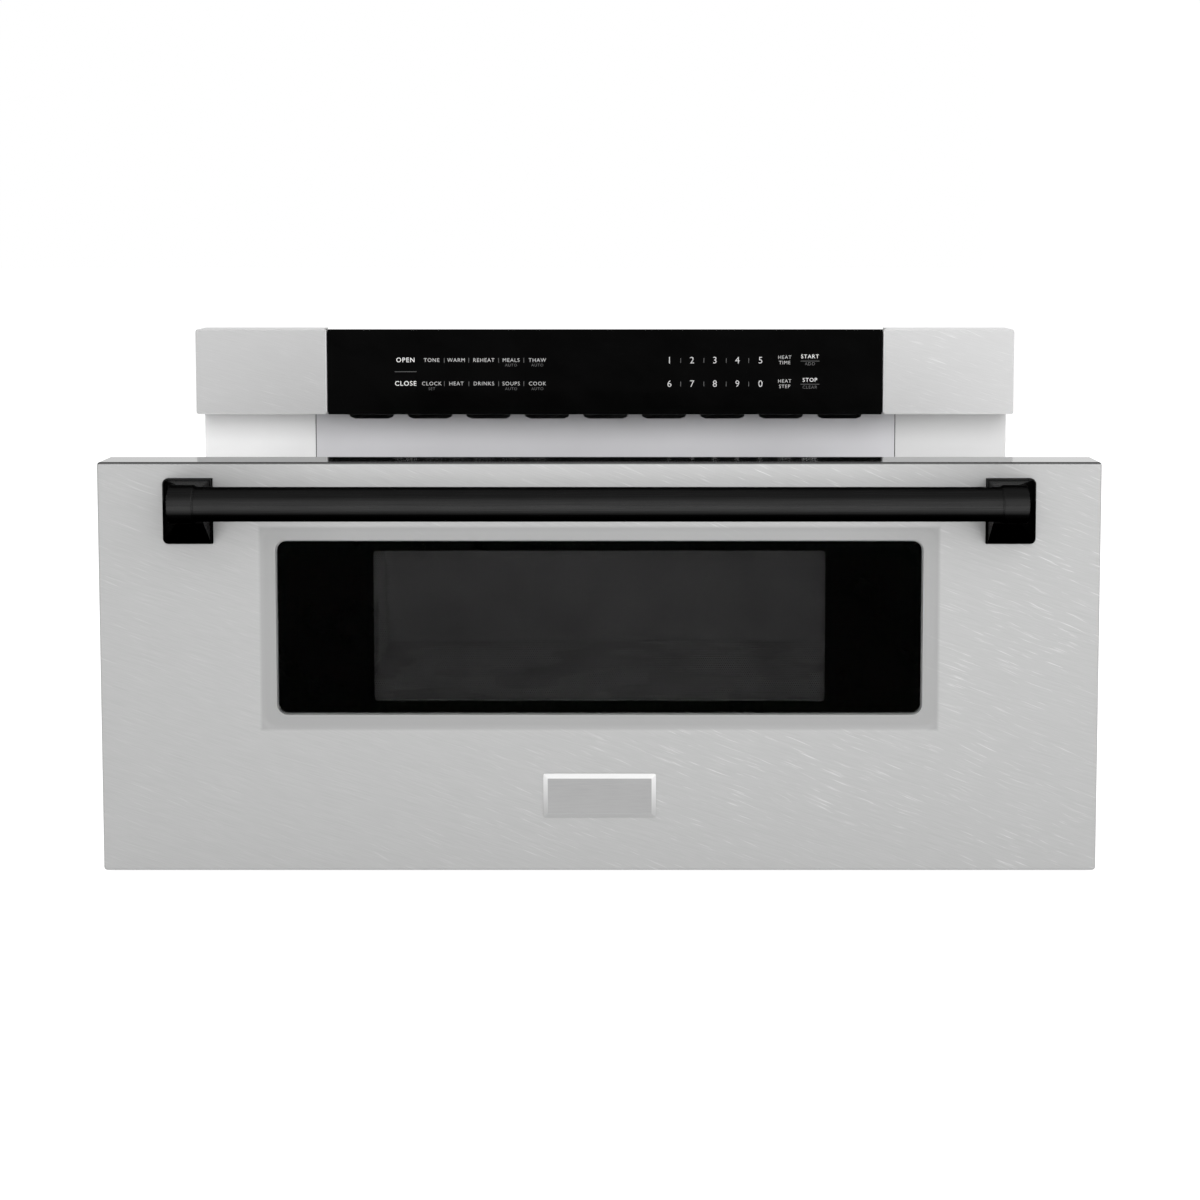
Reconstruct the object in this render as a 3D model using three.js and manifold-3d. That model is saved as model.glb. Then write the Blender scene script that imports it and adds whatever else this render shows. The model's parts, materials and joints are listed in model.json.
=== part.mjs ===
// Microwave drawer, 30 inch wide, built-in, shown with its drawer run out.
// Millimetres. X to the right, Y to the back, Z up. The origin is the middle of the case's underside.
import * as THREE from "three";
import { mergeVertices } from "three/addons/utils/BufferGeometryUtils.js";
import Module from "manifold-3d";

const wasm = await Module();
wasm.setup();

// ---------------------------------------------------------------- driving dimensions
const SEAT = 0.3; // play between a piece and what carries it
const TRAVEL = 381; // how far the drawer runs out

// The case, a box of folded sheet
const CASE_WIDTH = 710;
const CASE_HEIGHT = 368;
const CASE_DEPTH = 590;
const CASE_SHEET = 1.2;
const CASE_FLANGE = 14;
const BEAD_WIDTH = 16; // pressed stiffening beads
const BEAD_HEIGHT = 2.5;
const BEAD_LENGTH = 330;
const BEAD_START = 45; // behind the pan's front edge
const LOUVRE_COUNT = 7;
const LOUVRE_PITCH = 15;
const LOUVRE_LENGTH = 70;
const LOUVRE_WIDTH = 6;
const SIDE_LOUVRES = { height: 221, ahead: 30 }; // middle of the rows, and their end's way to the case's back
const REAR_LOUVRES = [144, -190]; // middles of the two rows

// The fixed face that the door closes against, in three plates
const FACE_WIDTH = 759;
const FACE_SHEET = 2;
const FACE_MIDDLE_WIDTH = 548;
const FACE_SEAM = 0.8;
const VENT_COUNT = 9;
const VENT_PITCH = 55.4;
const VENT_WIDTH = 44;
const VENT_HEIGHT = 18;
const VENT_RADIUS = 6;
const VENT_DROP = 7.5; // how far the slots reach below the control panel

// The oven cavity
const CAVITY_WIDTH = 436;
const HEADROOM = 100; // from the cavity's ceiling to the case's top
const CAVITY_DEPTH = 414;
const CAVITY_FLOOR = 87;
const CAVITY_SHEET = 1.2;
const CAVITY_FLANGE = 12;
const CAVITY_CORNER = 10;
const DOME_RADIUS = 105;
const DOME_HEIGHT = 15;
const DOME_BEHIND_FACE = 207;

// The control panel over the door
const PANEL_HEIGHT = 79;
const PANEL_OVERHANG = 31; // over the case's top
const PANEL_GAP = 4; // between the door's top and the panel
const PANEL_SHEET = 1.5;
const PANEL_EDGE = 1.6;
const TOUCH_WIDTH = 514;
const TOUCH_THICK = 4;
const TOUCH_GAP = 0.8;
const HOUSING_WALL = 2.5;
const BOARD_WIDTH = 300;
const BOARD_HEIGHT = 58;
const BOARD_THICK = 1.6;

// The door
const DOOR_WIDTH = 759;
const DOOR_DEPTH = 38;
const DOOR_BOTTOM = 2;
const DOOR_GAP = 4; // between the closed door and the face
const DOOR_SHEET = 1.5;
const DOOR_EDGE = 1.8;
const DOOR_CORNER = 2.5;
const FRAME_SHEET = 1.2;
const FRAME_RIM = 22;
const RECESS_WIDTH = 516;
const RECESS_HEIGHT = 156.8;
const RECESS_DROP = 48.7; // below the door's top
const RECESS_DEPTH = 3.6;
const RECESS_CORNER = 12;
const GLASS_WIDTH = 489;
const GLASS_HEIGHT = 132.2;
const GLASS_DROP = 60.3; // below the door's top
const GLASS_THICK = 3;
const GLASS_CORNER = 7;
const SIGHT_WIDTH = 364; // the hole behind the glass
const SIGHT_HEIGHT = 126;
const SCREEN_SHEET = 0.8;
const SCREEN_LIP = 4;
const PANE_THICK = 3;
const CHOKE_WIDTH = 32;
const CHOKE_THICK = 3;
const CHOKE_GROOVE = 9;
const PLAQUE_WIDTH = 86;
const PLAQUE_HEIGHT = 34;
const PLAQUE_THICK = 2.4;
const PLAQUE_BEVEL = 3.4;
const PLAQUE_DROP = 238.6; // below the door's top

// The handle
const BAR_RADIUS = 12.7;
const BAR_REACH = 58; // from the door's front to the bar's axis
const COLLAR_WIDTH = 18.4;
const COLLAR_RADIUS = 14.2;
const COLLAR_CENTER = 303.3; // from the middle of the door
const FOOT_WIDTH = 37.3;
const FOOT_HEIGHT = 49.6;
const FOOT_CENTER = 310.6;
const FOOT_DROP = 12; // below the door's top
const FOOT_PLATE = 5;
const ARM_HEIGHT = 27.6;
const FOOT_CORNER = 4;
const HANDLE_SCREW = 2.5; // shank radius

// The drawer box that runs in the cavity
const BOX_PLAY = 5; // to each side of the cavity
const BOX_LIFT = 3; // over the cavity's floor
const BOX_TOP_PLAY = 6; // under the cavity's ceiling
const BOX_BACK_PLAY = 8;
const BOX_SHEET = 1.2;
const BOX_RIM = 3;
const BOX_RIM_HEIGHT = 5;
const BACK_RING = { side: 8.9, height: 152, radius: 69, bore: 45 }; // pressed into the box's back wall
const BACK_RIB = { left: [-118.6, -63], right: [80.8, 157.5], heights: [129.8, 166.7], tall: 3 };
const BACK_RELIEF = 1.2;
const TRAY_THICK = 4;
const TRAY_PLAY = 4;

// The telescopic slides
const SLIDE_LENGTH = 490;
const SLIDE_HEIGHT = 46;
const SLIDE_DEPTH = 12.7;
const SLIDE_SHEET = 1.2;
const SLIDE_STEP = 2; // from one channel to the next inside it
const SLIDE_CENTER = 120; // over the case's underside
const SLIDE_SET_BACK = 5;
const BRACKET_LENGTH = 80;
const BRACKET_ARM = 34;

// The rack and pinion that move the drawer
const TOOTH_MODULE = 2.5;
const PINION_TEETH = 16;
const GEAR_WIDTH = 12;
const BACKLASH = 0.4;
const PINION_BEHIND_FACE = 35;
const RACK_UNDERSIDE = 10;
const RACK_BODY = 9.5;
const RACK_SLOT_PLAY = 4;
const SHAFT_RADIUS = 4;
const GEARBOX_WIDTH = 38;
const GEARBOX_LENGTH = 62;
const GEARBOX_HEIGHT = 70;
const MOTOR_RADIUS = 18;
const MOTOR_LENGTH = 56;

// The door hooks and the interlock switches they work
const HOOK_CENTER = 300;
const HOOK_HEIGHT = 240;
const HOOK_LENGTH = 30;
const HOOK_THICK = 6;
const HOOK_TALL = 22;
const LATCH_WIDTH = 34;
const LATCH_TALL = 58;
const LATCH_DEPTH = 44;
const LATCH_PLAY = 2.5;

// The microwave parts
const GUIDE_WIDTH = 92;
const GUIDE_HEIGHT = 38;
const GUIDE_FRONT = 50; // ahead of the stirrer's axis
const GUIDE_BACK = 44; // behind the magnetron's axis
const MAGNETRON_BEHIND_CAVITY = 56;
const MAGNETRON_WIDTH = 96;
const MAGNETRON_LENGTH = 76;
const MAGNETRON_TALL = 100;
const FIN_COUNT = 5;
const STIRRER_RADIUS = 92;
const STIRRER_SHAFT = 3;
const FAN_RADIUS = 62;
const FAN_DEPTH = 20;
const FAN_BLADES = 7;
const FAN_CENTER_HEIGHT = 205;
const FAN_BEHIND_CAVITY = 88;
const FAN_SIDE = 84; // to the right of the middle
const SHROUD_HALF = 72;
const FAN_PLAY = 3; // between the blades and the shroud

// ---------------------------------------------------------------- places that follow from them
const caseHalf = CASE_WIDTH / 2;
const caseFront = -CASE_DEPTH / 2;
const caseBack = CASE_DEPTH / 2;
const caseInside = caseHalf - CASE_SHEET;
const faceFront = caseFront - FACE_SHEET;
const innerFront = caseFront + SEAT; // where everything behind the face begins
const innerBack = caseBack - CASE_SHEET - SEAT;
const panelTop = CASE_HEIGHT + PANEL_OVERHANG;
const panelBottom = panelTop - PANEL_HEIGHT;
const doorTop = panelBottom - PANEL_GAP;
const doorBack = faceFront - DOOR_GAP; // of the closed door
const doorFront = doorBack - DOOR_DEPTH;
const cavityTop = CASE_HEIGHT - HEADROOM;
const cavityHalf = CAVITY_WIDTH / 2;
const cavityBack = innerFront + CAVITY_DEPTH;
const domeY = faceFront + DOME_BEHIND_FACE;
const domeTop = cavityTop + DOME_HEIGHT;
const magnetronY = cavityBack + CAVITY_SHEET + MAGNETRON_BEHIND_CAVITY;
const guideBottom = domeTop + CAVITY_SHEET + SEAT;
const guideTop = guideBottom + GUIDE_HEIGHT;
const glassTop = doorTop - GLASS_DROP;
const glassMiddle = glassTop - GLASS_HEIGHT / 2;
const barHeight = doorTop - FOOT_DROP - BAR_RADIUS;
const barY = doorFront - BAR_REACH;
const pitchRadius = (TOOTH_MODULE * PINION_TEETH) / 2;
const rackPitchLine = RACK_UNDERSIDE + RACK_BODY + 1.25 * TOOTH_MODULE;
const pinionY = faceFront + PINION_BEHIND_FACE;
const pinionHeight = rackPitchLine + pitchRadius;

// ---------------------------------------------------------------- materials
function finish(color, roughness, metalness) {
  return new THREE.MeshStandardMaterial({ color, roughness, metalness });
}
const brushedSteel = finish(0xc4c5c4, 0.38, 1);
const polishedSteel = finish(0xcfcfce, 0.22, 1);
const darkHandle = finish(0x35363a, 0.3, 1);
const zincSheet = finish(0xa9adaf, 0.45, 1);
const paleEnamel = finish(0xe2e2e4, 0.4, 0.1);
const cavityPaint = finish(0xb9bab8, 0.4, 0.2);
const blackGlass = finish(0x060608, 0.06, 0);
const clearGlass = finish(0x1c1e20, 0.05, 0);
const screenSteel = finish(0x3a3b3c, 0.5, 0.6);
const blackPlastic = finish(0x17181a, 0.55, 0);
const greyPlastic = finish(0x8d9194, 0.6, 0);
const whiteCeramic = finish(0xe6e4de, 0.35, 0);
const circuitGreen = finish(0x2f5b3c, 0.6, 0);
const motorSteel = finish(0x7d8083, 0.45, 0.9);
const ironCore = finish(0x4c4a48, 0.6, 0.7);

// ---------------------------------------------------------------- solids
const byY = new THREE.Matrix4().makeBasis(
  new THREE.Vector3(1, 0, 0),
  new THREE.Vector3(0, 0, 1),
  new THREE.Vector3(0, -1, 0),
);
const byX = new THREE.Matrix4().makeBasis(
  new THREE.Vector3(0, 1, 0),
  new THREE.Vector3(0, 0, 1),
  new THREE.Vector3(1, 0, 0),
);

// A closed geometry as a solid that can be joined and cut.
function solid(geometry) {
  const plain = geometry.clone();
  plain.deleteAttribute("normal");
  plain.deleteAttribute("uv");
  const merged = mergeVertices(plain, 1e-4);
  const index = merged.index.array;
  const corners = [];
  for (let i = 0; i < index.length; i += 3) {
    const [a, b, c] = [index[i], index[i + 1], index[i + 2]];
    if (a !== b && b !== c && a !== c) corners.push(a, b, c);
  }
  const triVerts = new Uint32Array(corners);
  const vertProperties = merged.attributes.position.array;
  return new wasm.Manifold(new wasm.Mesh({ numProp: 3, vertProperties, triVerts }));
}

function join(...solids) {
  return solids.flat().reduce((whole, next) => whole.add(next));
}

function cut(whole, ...tools) {
  return tools.flat().reduce((left, tool) => left.subtract(tool), whole);
}

function block([x0, x1], [y0, y1], [z0, z1]) {
  const geometry = new THREE.BoxGeometry(x1 - x0, y1 - y0, z1 - z0);
  return solid(geometry.translate((x0 + x1) / 2, (y0 + y1) / 2, (z0 + z1) / 2));
}

// Corner points of a rectangle from (u0, v0) to (u1, v1), anticlockwise, each corner an arc.
function rectangle(u0, u1, v0, v1, radius = 0, steps = 2) {
  if (radius <= 0) {
    return [[u0, v0], [u1, v0], [u1, v1], [u0, v1]].map(([u, v]) => new THREE.Vector2(u, v));
  }
  const r = Math.min(radius, (u1 - u0) / 2 - 0.01, (v1 - v0) / 2 - 0.01);
  const centers = [[u1 - r, v0 + r], [u1 - r, v1 - r], [u0 + r, v1 - r], [u0 + r, v0 + r]];
  const points = [];
  centers.forEach(([u, v], corner) => {
    for (let i = 0; i <= steps; i++) {
      const angle = ((corner - 1 + i / steps) * Math.PI) / 2;
      points.push(new THREE.Vector2(u + r * Math.cos(angle), v + r * Math.sin(angle)));
    }
  });
  return points;
}

function circle(u, v, radius, steps = 16) {
  const points = [];
  for (let i = 0; i < steps; i++) {
    const angle = (i / steps) * 2 * Math.PI;
    points.push(new THREE.Vector2(u + radius * Math.cos(angle), v + radius * Math.sin(angle)));
  }
  return points;
}

function drawn(outline, depth) {
  return new THREE.ExtrudeGeometry(new THREE.Shape(outline), { depth, bevelEnabled: false });
}

// A profile in X and Z, drawn through from y0 to y1. The holes go right through it.
function alongY(outline, y0, y1, holes = []) {
  const bar = solid(drawn(outline, y1 - y0).applyMatrix4(byY).translate(0, y1, 0));
  return cut(bar, holes.map((hole) => alongY(hole, y0 - 1, y1 + 1)));
}

// A profile in Y and Z, drawn through from x0 to x1.
function alongX(outline, x0, x1, holes = []) {
  const bar = solid(drawn(outline, x1 - x0).applyMatrix4(byX).translate(x0, 0, 0));
  return cut(bar, holes.map((hole) => alongX(hole, x0 - 1, x1 + 1)));
}

// A profile in X and Y, drawn through from z0 to z1.
function alongZ(outline, z0, z1, holes = []) {
  const bar = solid(drawn(outline, z1 - z0).translate(0, 0, z0));
  return cut(bar, holes.map((hole) => alongZ(hole, z0 - 1, z1 + 1)));
}

// A skin over sections with the same number of points, each section convex.
function loft(sections) {
  const count = sections[0].length;
  const positions = sections.flat().flatMap((p) => [p.x, p.y, p.z]);
  const index = [];
  const last = (sections.length - 1) * count;
  for (let s = 0; s < sections.length - 1; s++) {
    for (let i = 0; i < count; i++) {
      const [a, b] = [s * count + i, s * count + ((i + 1) % count)];
      index.push(a, b, b + count, a, b + count, a + count);
    }
  }
  for (let i = 1; i < count - 1; i++) {
    index.push(0, i + 1, i, last, last + i, last + i + 1);
  }
  const geometry = new THREE.BufferGeometry();
  geometry.setAttribute("position", new THREE.Float32BufferAttribute(positions, 3));
  geometry.setIndex(index);
  const made = solid(geometry);
  if (made.volume() > 0) return made;
  for (let i = 0; i < index.length; i += 3) [index[i + 1], index[i + 2]] = [index[i + 2], index[i + 1]];
  geometry.setIndex(index);
  return solid(geometry);
}

// A rectangle in X and Z at height y of a loft along Y.
function sectionAt(y, x0, x1, z0, z1, radius, steps = 2) {
  return rectangle(x0, x1, z0, z1, radius, steps).map((p) => new THREE.Vector3(p.x, y, p.y));
}

// A slab whose front edges are rounded over.
function softSlab([x0, x1], [front, back], [z0, z1], corner, edge) {
  const insets = [[1, 0], [0.29, 0.29], [0, 1]];
  const sections = [sectionAt(back, x0, x1, z0, z1, corner)];
  for (const [depth, inset] of insets) {
    const d = edge * inset;
    sections.push(sectionAt(front + edge * depth, x0 + d, x1 - d, z0 + d, z1 - d, corner));
  }
  return loft(sections);
}

const whole = new THREE.Group();
const drawer = new THREE.Group(); // everything that runs out; modelled closed
const slideMiddles = new THREE.Group(); // these run out half as far
drawer.position.y = -TRAVEL;
slideMiddles.position.y = -TRAVEL / 2;
whole.add(drawer, slideMiddles);

function piece(name, body, material, group = whole) {
  const { numProp, vertProperties, triVerts } = body.getMesh();
  const positions = new Float32Array((vertProperties.length / numProp) * 3);
  for (let i = 0; i < positions.length / 3; i++) {
    positions.set(vertProperties.subarray(i * numProp, i * numProp + 3), i * 3);
  }
  const geometry = new THREE.BufferGeometry();
  geometry.setAttribute("position", new THREE.BufferAttribute(positions, 3));
  geometry.setIndex(new THREE.BufferAttribute(triVerts, 1));
  geometry.computeVertexNormals();
  const mesh = new THREE.Mesh(geometry, material);
  mesh.name = name;
  group.add(mesh);
}

const SIDES = [["left", -1], ["right", 1]];

// Two places mirrored about the middle, low one first.
function span(side, near, far) {
  return side > 0 ? [near, far] : [-far, -near];
}

// ---------------------------------------------------------------- the case
const panFront = innerFront + CASE_SHEET + SEAT;
const panBack = innerBack - CASE_SHEET - SEAT;
const panHalf = caseInside - SEAT;
const rackSlotHalf = GEAR_WIDTH / 2 + RACK_SLOT_PLAY;

// A pressed bead that runs from front to back, raised on the inside of a sheet.
function bead(x, sheetZ, inward) {
  const from = panFront + BEAD_START;
  const to = from + BEAD_LENGTH;
  const half = BEAD_WIDTH / 2;
  const ridge = rectangle(x - half, x + half, from, to, half, 2);
  const crest = half - CASE_SHEET;
  const groove = rectangle(x - crest, x + crest, from + CASE_SHEET, to - CASE_SHEET, crest, 2);
  const inside = sheetZ + inward * CASE_SHEET;
  const top = inside + inward * BEAD_HEIGHT;
  const low = [sheetZ - inward, sheetZ + inward * BEAD_HEIGHT];
  return {
    ridge: alongZ(ridge, Math.min(sheetZ, top), Math.max(sheetZ, top)),
    groove: alongZ(groove, Math.min(...low), Math.max(...low)),
  };
}

function casePan(outerZ, inward) {
  const flat = [outerZ, outerZ + inward * CASE_SHEET].sort((a, b) => a - b);
  const rim = [outerZ, outerZ + inward * CASE_FLANGE].sort((a, b) => a - b);
  const outline = rectangle(-panHalf, panHalf, panFront, panBack);
  const inner = rectangle(
    -panHalf + CASE_SHEET,
    panHalf - CASE_SHEET,
    panFront + CASE_SHEET,
    panBack - CASE_SHEET,
  );
  const beads = [-0.3, -0.1, 0.1, 0.3].map((share) => bead(share * CASE_WIDTH, outerZ, inward));
  const sheet = join(
    alongZ(outline, ...flat),
    alongZ(outline, ...rim, [inner]),
    beads.map((b) => b.ridge),
  );
  return cut(sheet, beads.map((b) => b.groove));
}

function louvres(firstU, centerV) {
  const holes = [];
  for (let i = 0; i < LOUVRE_COUNT; i++) {
    const u = firstU + i * LOUVRE_PITCH;
    const [low, high] = [centerV - LOUVRE_LENGTH / 2, centerV + LOUVRE_LENGTH / 2];
    holes.push(rectangle(u - LOUVRE_WIDTH / 2, u + LOUVRE_WIDTH / 2, low, high, LOUVRE_WIDTH / 2, 1));
  }
  return holes;
}

const rackSlot = block(
  [-rackSlotHalf, rackSlotHalf],
  [panFront - 1, panFront + CASE_SHEET + 1],
  [CASE_SHEET + 1, CASE_FLANGE + 1],
);
piece("case_base", cut(casePan(0, 1), rackSlot), zincSheet);
piece("case_top", casePan(CASE_HEIGHT, -1), zincSheet);

const slideLow = SLIDE_CENTER - SLIDE_HEIGHT / 2;
const slideHigh = SLIDE_CENTER + SLIDE_HEIGHT / 2;
const slideOuter = caseInside - SEAT; // the face of the slide on the case's side
const slideInner = slideOuter - SLIDE_DEPTH;
const SLOT_PLAY = 2.5; // around a slide where it passes the face

for (const [name, side] of SIDES) {
  const louvreStart = innerBack - SIDE_LOUVRES.ahead - (LOUVRE_COUNT - 1) * LOUVRE_PITCH;
  const web = alongX(
    rectangle(innerFront, innerBack, 0, CASE_HEIGHT),
    ...span(side, caseInside, caseHalf),
    louvres(louvreStart, SIDE_LOUVRES.height),
  );
  const flangeX = span(side, caseHalf - CASE_FLANGE, caseHalf);
  const tall = [0, CASE_HEIGHT];
  const frontFold = [innerFront, innerFront + CASE_SHEET];
  const flanges = [
    block(flangeX, frontFold, [0, slideLow - SLOT_PLAY]),
    block(flangeX, frontFold, [slideHigh + SLOT_PLAY, CASE_HEIGHT]),
    block(flangeX, [innerBack - CASE_SHEET, innerBack], tall),
  ];
  piece("case_side_" + name, join(web, flanges), zincSheet);
}

// The rear panel, with the vent louvres behind the fan and the hole of the cord's bushing
const INLET_RADIUS = 11;
const INLET_BORE = 5.5;
const INLET_FLANGE = 3;
const INLET_SIDE = 270;
const INLET_HEIGHT = 60;
const rearOutline = rectangle(-caseHalf, caseHalf, 0, CASE_HEIGHT, 3);
const inletHole = circle(INLET_SIDE, INLET_HEIGHT, INLET_RADIUS + SEAT);
const ventRow = ((LOUVRE_COUNT - 1) * LOUVRE_PITCH) / 2;
const rearHoles = [
  inletHole,
  ...REAR_LOUVRES.flatMap((middle) => louvres(middle - ventRow, FAN_CENTER_HEIGHT)),
];
piece(
  "case_rear",
  alongY(rearOutline, caseBack - CASE_SHEET, caseBack, rearHoles),
  zincSheet,
);
const bushing = join(
  alongY(circle(INLET_SIDE, INLET_HEIGHT, INLET_RADIUS), caseBack - 12, caseBack + 1),
  alongY(
    circle(INLET_SIDE, INLET_HEIGHT, INLET_RADIUS + 4),
    caseBack + SEAT,
    caseBack + SEAT + INLET_FLANGE,
  ),
);
const bore = alongY(circle(INLET_SIDE, INLET_HEIGHT, INLET_BORE), caseBack - 20, caseBack + 20);
piece("cord_bushing", cut(bushing, bore), blackPlastic);

// ---------------------------------------------------------------- the face
const middleHalf = FACE_MIDDLE_WIDTH / 2;
const faceHalf = FACE_WIDTH / 2;

function faceMiddle() {
  const holes = [
    rectangle(-cavityHalf, cavityHalf, CAVITY_FLOOR, cavityTop, CAVITY_CORNER),
    rectangle(-rackSlotHalf, rackSlotHalf, RACK_UNDERSIDE - 4, rackPitchLine + 6, 2),
  ];
  const ventLow = panelBottom - VENT_DROP;
  for (let i = 0; i < VENT_COUNT; i++) {
    const x = (i - (VENT_COUNT - 1) / 2) * VENT_PITCH;
    const [x0, x1] = [x - VENT_WIDTH / 2, x + VENT_WIDTH / 2];
    holes.push(rectangle(x0, x1, ventLow, ventLow + VENT_HEIGHT, VENT_RADIUS));
  }
  return alongY(rectangle(-middleHalf, middleHalf, 0, CASE_HEIGHT), faceFront, caseFront, holes);
}
piece("face_plate_middle", faceMiddle(), paleEnamel);

for (const [name, side] of SIDES) {
  const slideSpan = span(side, slideInner - SLOT_PLAY, caseHalf + SEAT);
  const hookHalf = HOOK_THICK / 2 + LATCH_PLAY;
  const hookX = [side * HOOK_CENTER - hookHalf, side * HOOK_CENTER + hookHalf];
  const hookTall = HOOK_TALL / 2 + LATCH_PLAY;
  const holes = [
    rectangle(...slideSpan, slideLow - SLOT_PLAY, slideHigh + SLOT_PLAY, 2),
    rectangle(...hookX, HOOK_HEIGHT - hookTall, HOOK_HEIGHT + hookTall, 2),
  ];
  const outline = rectangle(...span(side, middleHalf + FACE_SEAM, faceHalf), 0, CASE_HEIGHT);
  piece("face_plate_" + name, alongY(outline, faceFront, caseFront, holes), paleEnamel);
}

// ---------------------------------------------------------------- the oven cavity
const LAMP = { drop: 45, hole: 14, half: 20, deep: 34, cap: 13, capDeep: 12 };
const FEED_RADIUS = 30; // the hole from the waveguide into the dome
function cavity() {
  const s = CAVITY_SHEET;
  const hull = rectangle(
    -cavityHalf - s, cavityHalf + s, CAVITY_FLOOR - s, cavityTop + s, CAVITY_CORNER + s, 3,
  );
  const room = rectangle(-cavityHalf, cavityHalf, CAVITY_FLOOR, cavityTop, CAVITY_CORNER, 3);
  const f = CAVITY_FLANGE;
  const flange = rectangle(
    -cavityHalf - f, cavityHalf + f, CAVITY_FLOOR - f, cavityTop + f, CAVITY_CORNER,
  );
  const shell = join(
    alongY(hull, innerFront, cavityBack + s),
    alongY(flange, innerFront, innerFront + s),
    alongZ(circle(0, domeY, DOME_RADIUS + s, 32), cavityTop, domeTop + s),
  );
  const lampHole = alongX(circle(domeY, cavityTop - LAMP.drop, LAMP.hole), cavityHalf - 2, cavityHalf + 4);
  const feedHole = alongZ(circle(0, domeY, FEED_RADIUS), domeTop - 1, domeTop + s + 1);
  return cut(
    shell,
    alongY(room, innerFront - 1, cavityBack),
    alongZ(circle(0, domeY, DOME_RADIUS, 32), cavityTop - 1, domeTop),
    lampHole,
    feedHole,
  );
}
piece("cavity_shell", cavity(), cavityPaint);

const coverRadius = DOME_RADIUS - 0.6;
piece(
  "stirrer_cover",
  alongZ(circle(0, domeY, coverRadius, 32), cavityTop + SEAT, cavityTop + 2),
  whiteCeramic,
);

// The lamp in its holder on the cavity's right side
function lamp() {
  const x0 = cavityHalf + CAVITY_SHEET + SEAT;
  const z = cavityTop - LAMP.drop;
  const outline = rectangle(domeY - LAMP.half, domeY + LAMP.half, z - LAMP.half, z + LAMP.half, 4);
  const holder = alongX(outline, x0, x0 + LAMP.deep);
  const cap = alongX(circle(domeY, z, LAMP.cap), x0 + LAMP.deep - 1, x0 + LAMP.deep + LAMP.capDeep);
  return join(holder, cap);
}
piece("cavity_lamp", lamp(), greyPlastic);

// ---------------------------------------------------------------- the microwave feed
const ANTENNA_HOLE = 18;
function waveguide() {
  const half = GUIDE_WIDTH / 2;
  const s = CAVITY_SHEET;
  const [front, back] = [domeY - GUIDE_FRONT, magnetronY + GUIDE_BACK];
  return cut(
    block([-half, half], [front, back], [guideBottom, guideTop]),
    block([-half + s, half - s], [front + s, back - s], [guideBottom + s, guideTop - s]),
    alongZ(circle(0, domeY, FEED_RADIUS), guideBottom - 1, guideBottom + s + 1),
    alongZ(circle(0, magnetronY, ANTENNA_HOLE), guideBottom - 1, guideBottom + s + 1),
    alongZ(circle(0, domeY, STIRRER_SHAFT + 2), guideTop - s - 1, guideTop + 1),
  );
}
piece("waveguide", waveguide(), zincSheet);

// The magnetron: a yoke, its stack of cooling fins round the anode, the antenna and the filter box
const YOKE_SHEET = 2;
const ANODE_RADIUS = 20;
const ANTENNA = { radius: 8, clear: 8 }; // clear of the waveguide's top
const CHOKE_BOX = { half: 30, length: 28, tall: 30 };
const FIN = { thick: 1, inset: 3, clear: 6 };
function magnetron() {
  const [hx, hy] = [MAGNETRON_WIDTH / 2, MAGNETRON_LENGTH / 2];
  const top = guideBottom - SEAT;
  const low = top - MAGNETRON_TALL;
  const boxTop = low + CHOKE_BOX.tall;
  const yokeOuter = rectangle(-hx, hx, boxTop, top, 4);
  const yokeInner = rectangle(-hx + YOKE_SHEET, hx - YOKE_SHEET, boxTop + YOKE_SHEET, top - YOKE_SHEET, 3);
  const yoke = alongY(yokeOuter, magnetronY - hy, magnetronY + hy, [yokeInner]);
  const anode = alongZ(circle(0, magnetronY, ANODE_RADIUS, 12), boxTop - 10, top);
  const antenna = alongZ(circle(0, magnetronY, ANTENNA.radius, 12), top - 2, guideTop - ANTENNA.clear);
  const [front, back] = [magnetronY - CHOKE_BOX.length, magnetronY + CHOKE_BOX.length];
  const filterBox = alongZ(rectangle(-CHOKE_BOX.half, CHOKE_BOX.half, front, back, 4), low, boxTop + 1);
  const fins = [];
  const [finLow, finHigh] = [boxTop + FIN.clear, top - FIN.clear - YOKE_SHEET];
  for (let i = 1; i <= FIN_COUNT; i++) {
    const z = finLow + ((finHigh - finLow) * i) / (FIN_COUNT + 1);
    fins.push(
      block(
        [-hx + 1, hx - 1],
        [magnetronY - hy + FIN.inset, magnetronY + hy - FIN.inset],
        [z - FIN.thick / 2, z + FIN.thick / 2],
      ),
    );
  }
  return join(yoke, anode, antenna, filterBox, fins);
}
piece("magnetron", magnetron(), motorSteel);

// The stirrer turns in the dome and hangs on its motor's shaft.
const PADDLE = { wide: 30, thick: 0.8, start: 12, pitch: 0.16 };
const HUB = { radius: 16, tall: 6, lift: 6 };
const stirrerLow = cavityTop + HUB.lift;
function paddle(turn) {
  const reach = STIRRER_RADIUS - PADDLE.start;
  const blade = new THREE.BoxGeometry(reach, PADDLE.wide, PADDLE.thick);
  blade.rotateX(PADDLE.pitch).translate(PADDLE.start + reach / 2, 0, stirrerLow + HUB.tall / 2);
  return solid(blade.rotateZ(turn).translate(0, domeY, 0));
}
const stirrerHub = alongZ(circle(0, domeY, HUB.radius, 20), stirrerLow, stirrerLow + HUB.tall);
const stirrerShaft = alongZ(circle(0, domeY, STIRRER_SHAFT, 16), stirrerLow + 1, guideTop + 8);
piece(
  "stirrer",
  join(stirrerHub, stirrerShaft, [0, 1, 2, 3].map((i) => paddle((i * Math.PI) / 2))),
  zincSheet,
);

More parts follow.
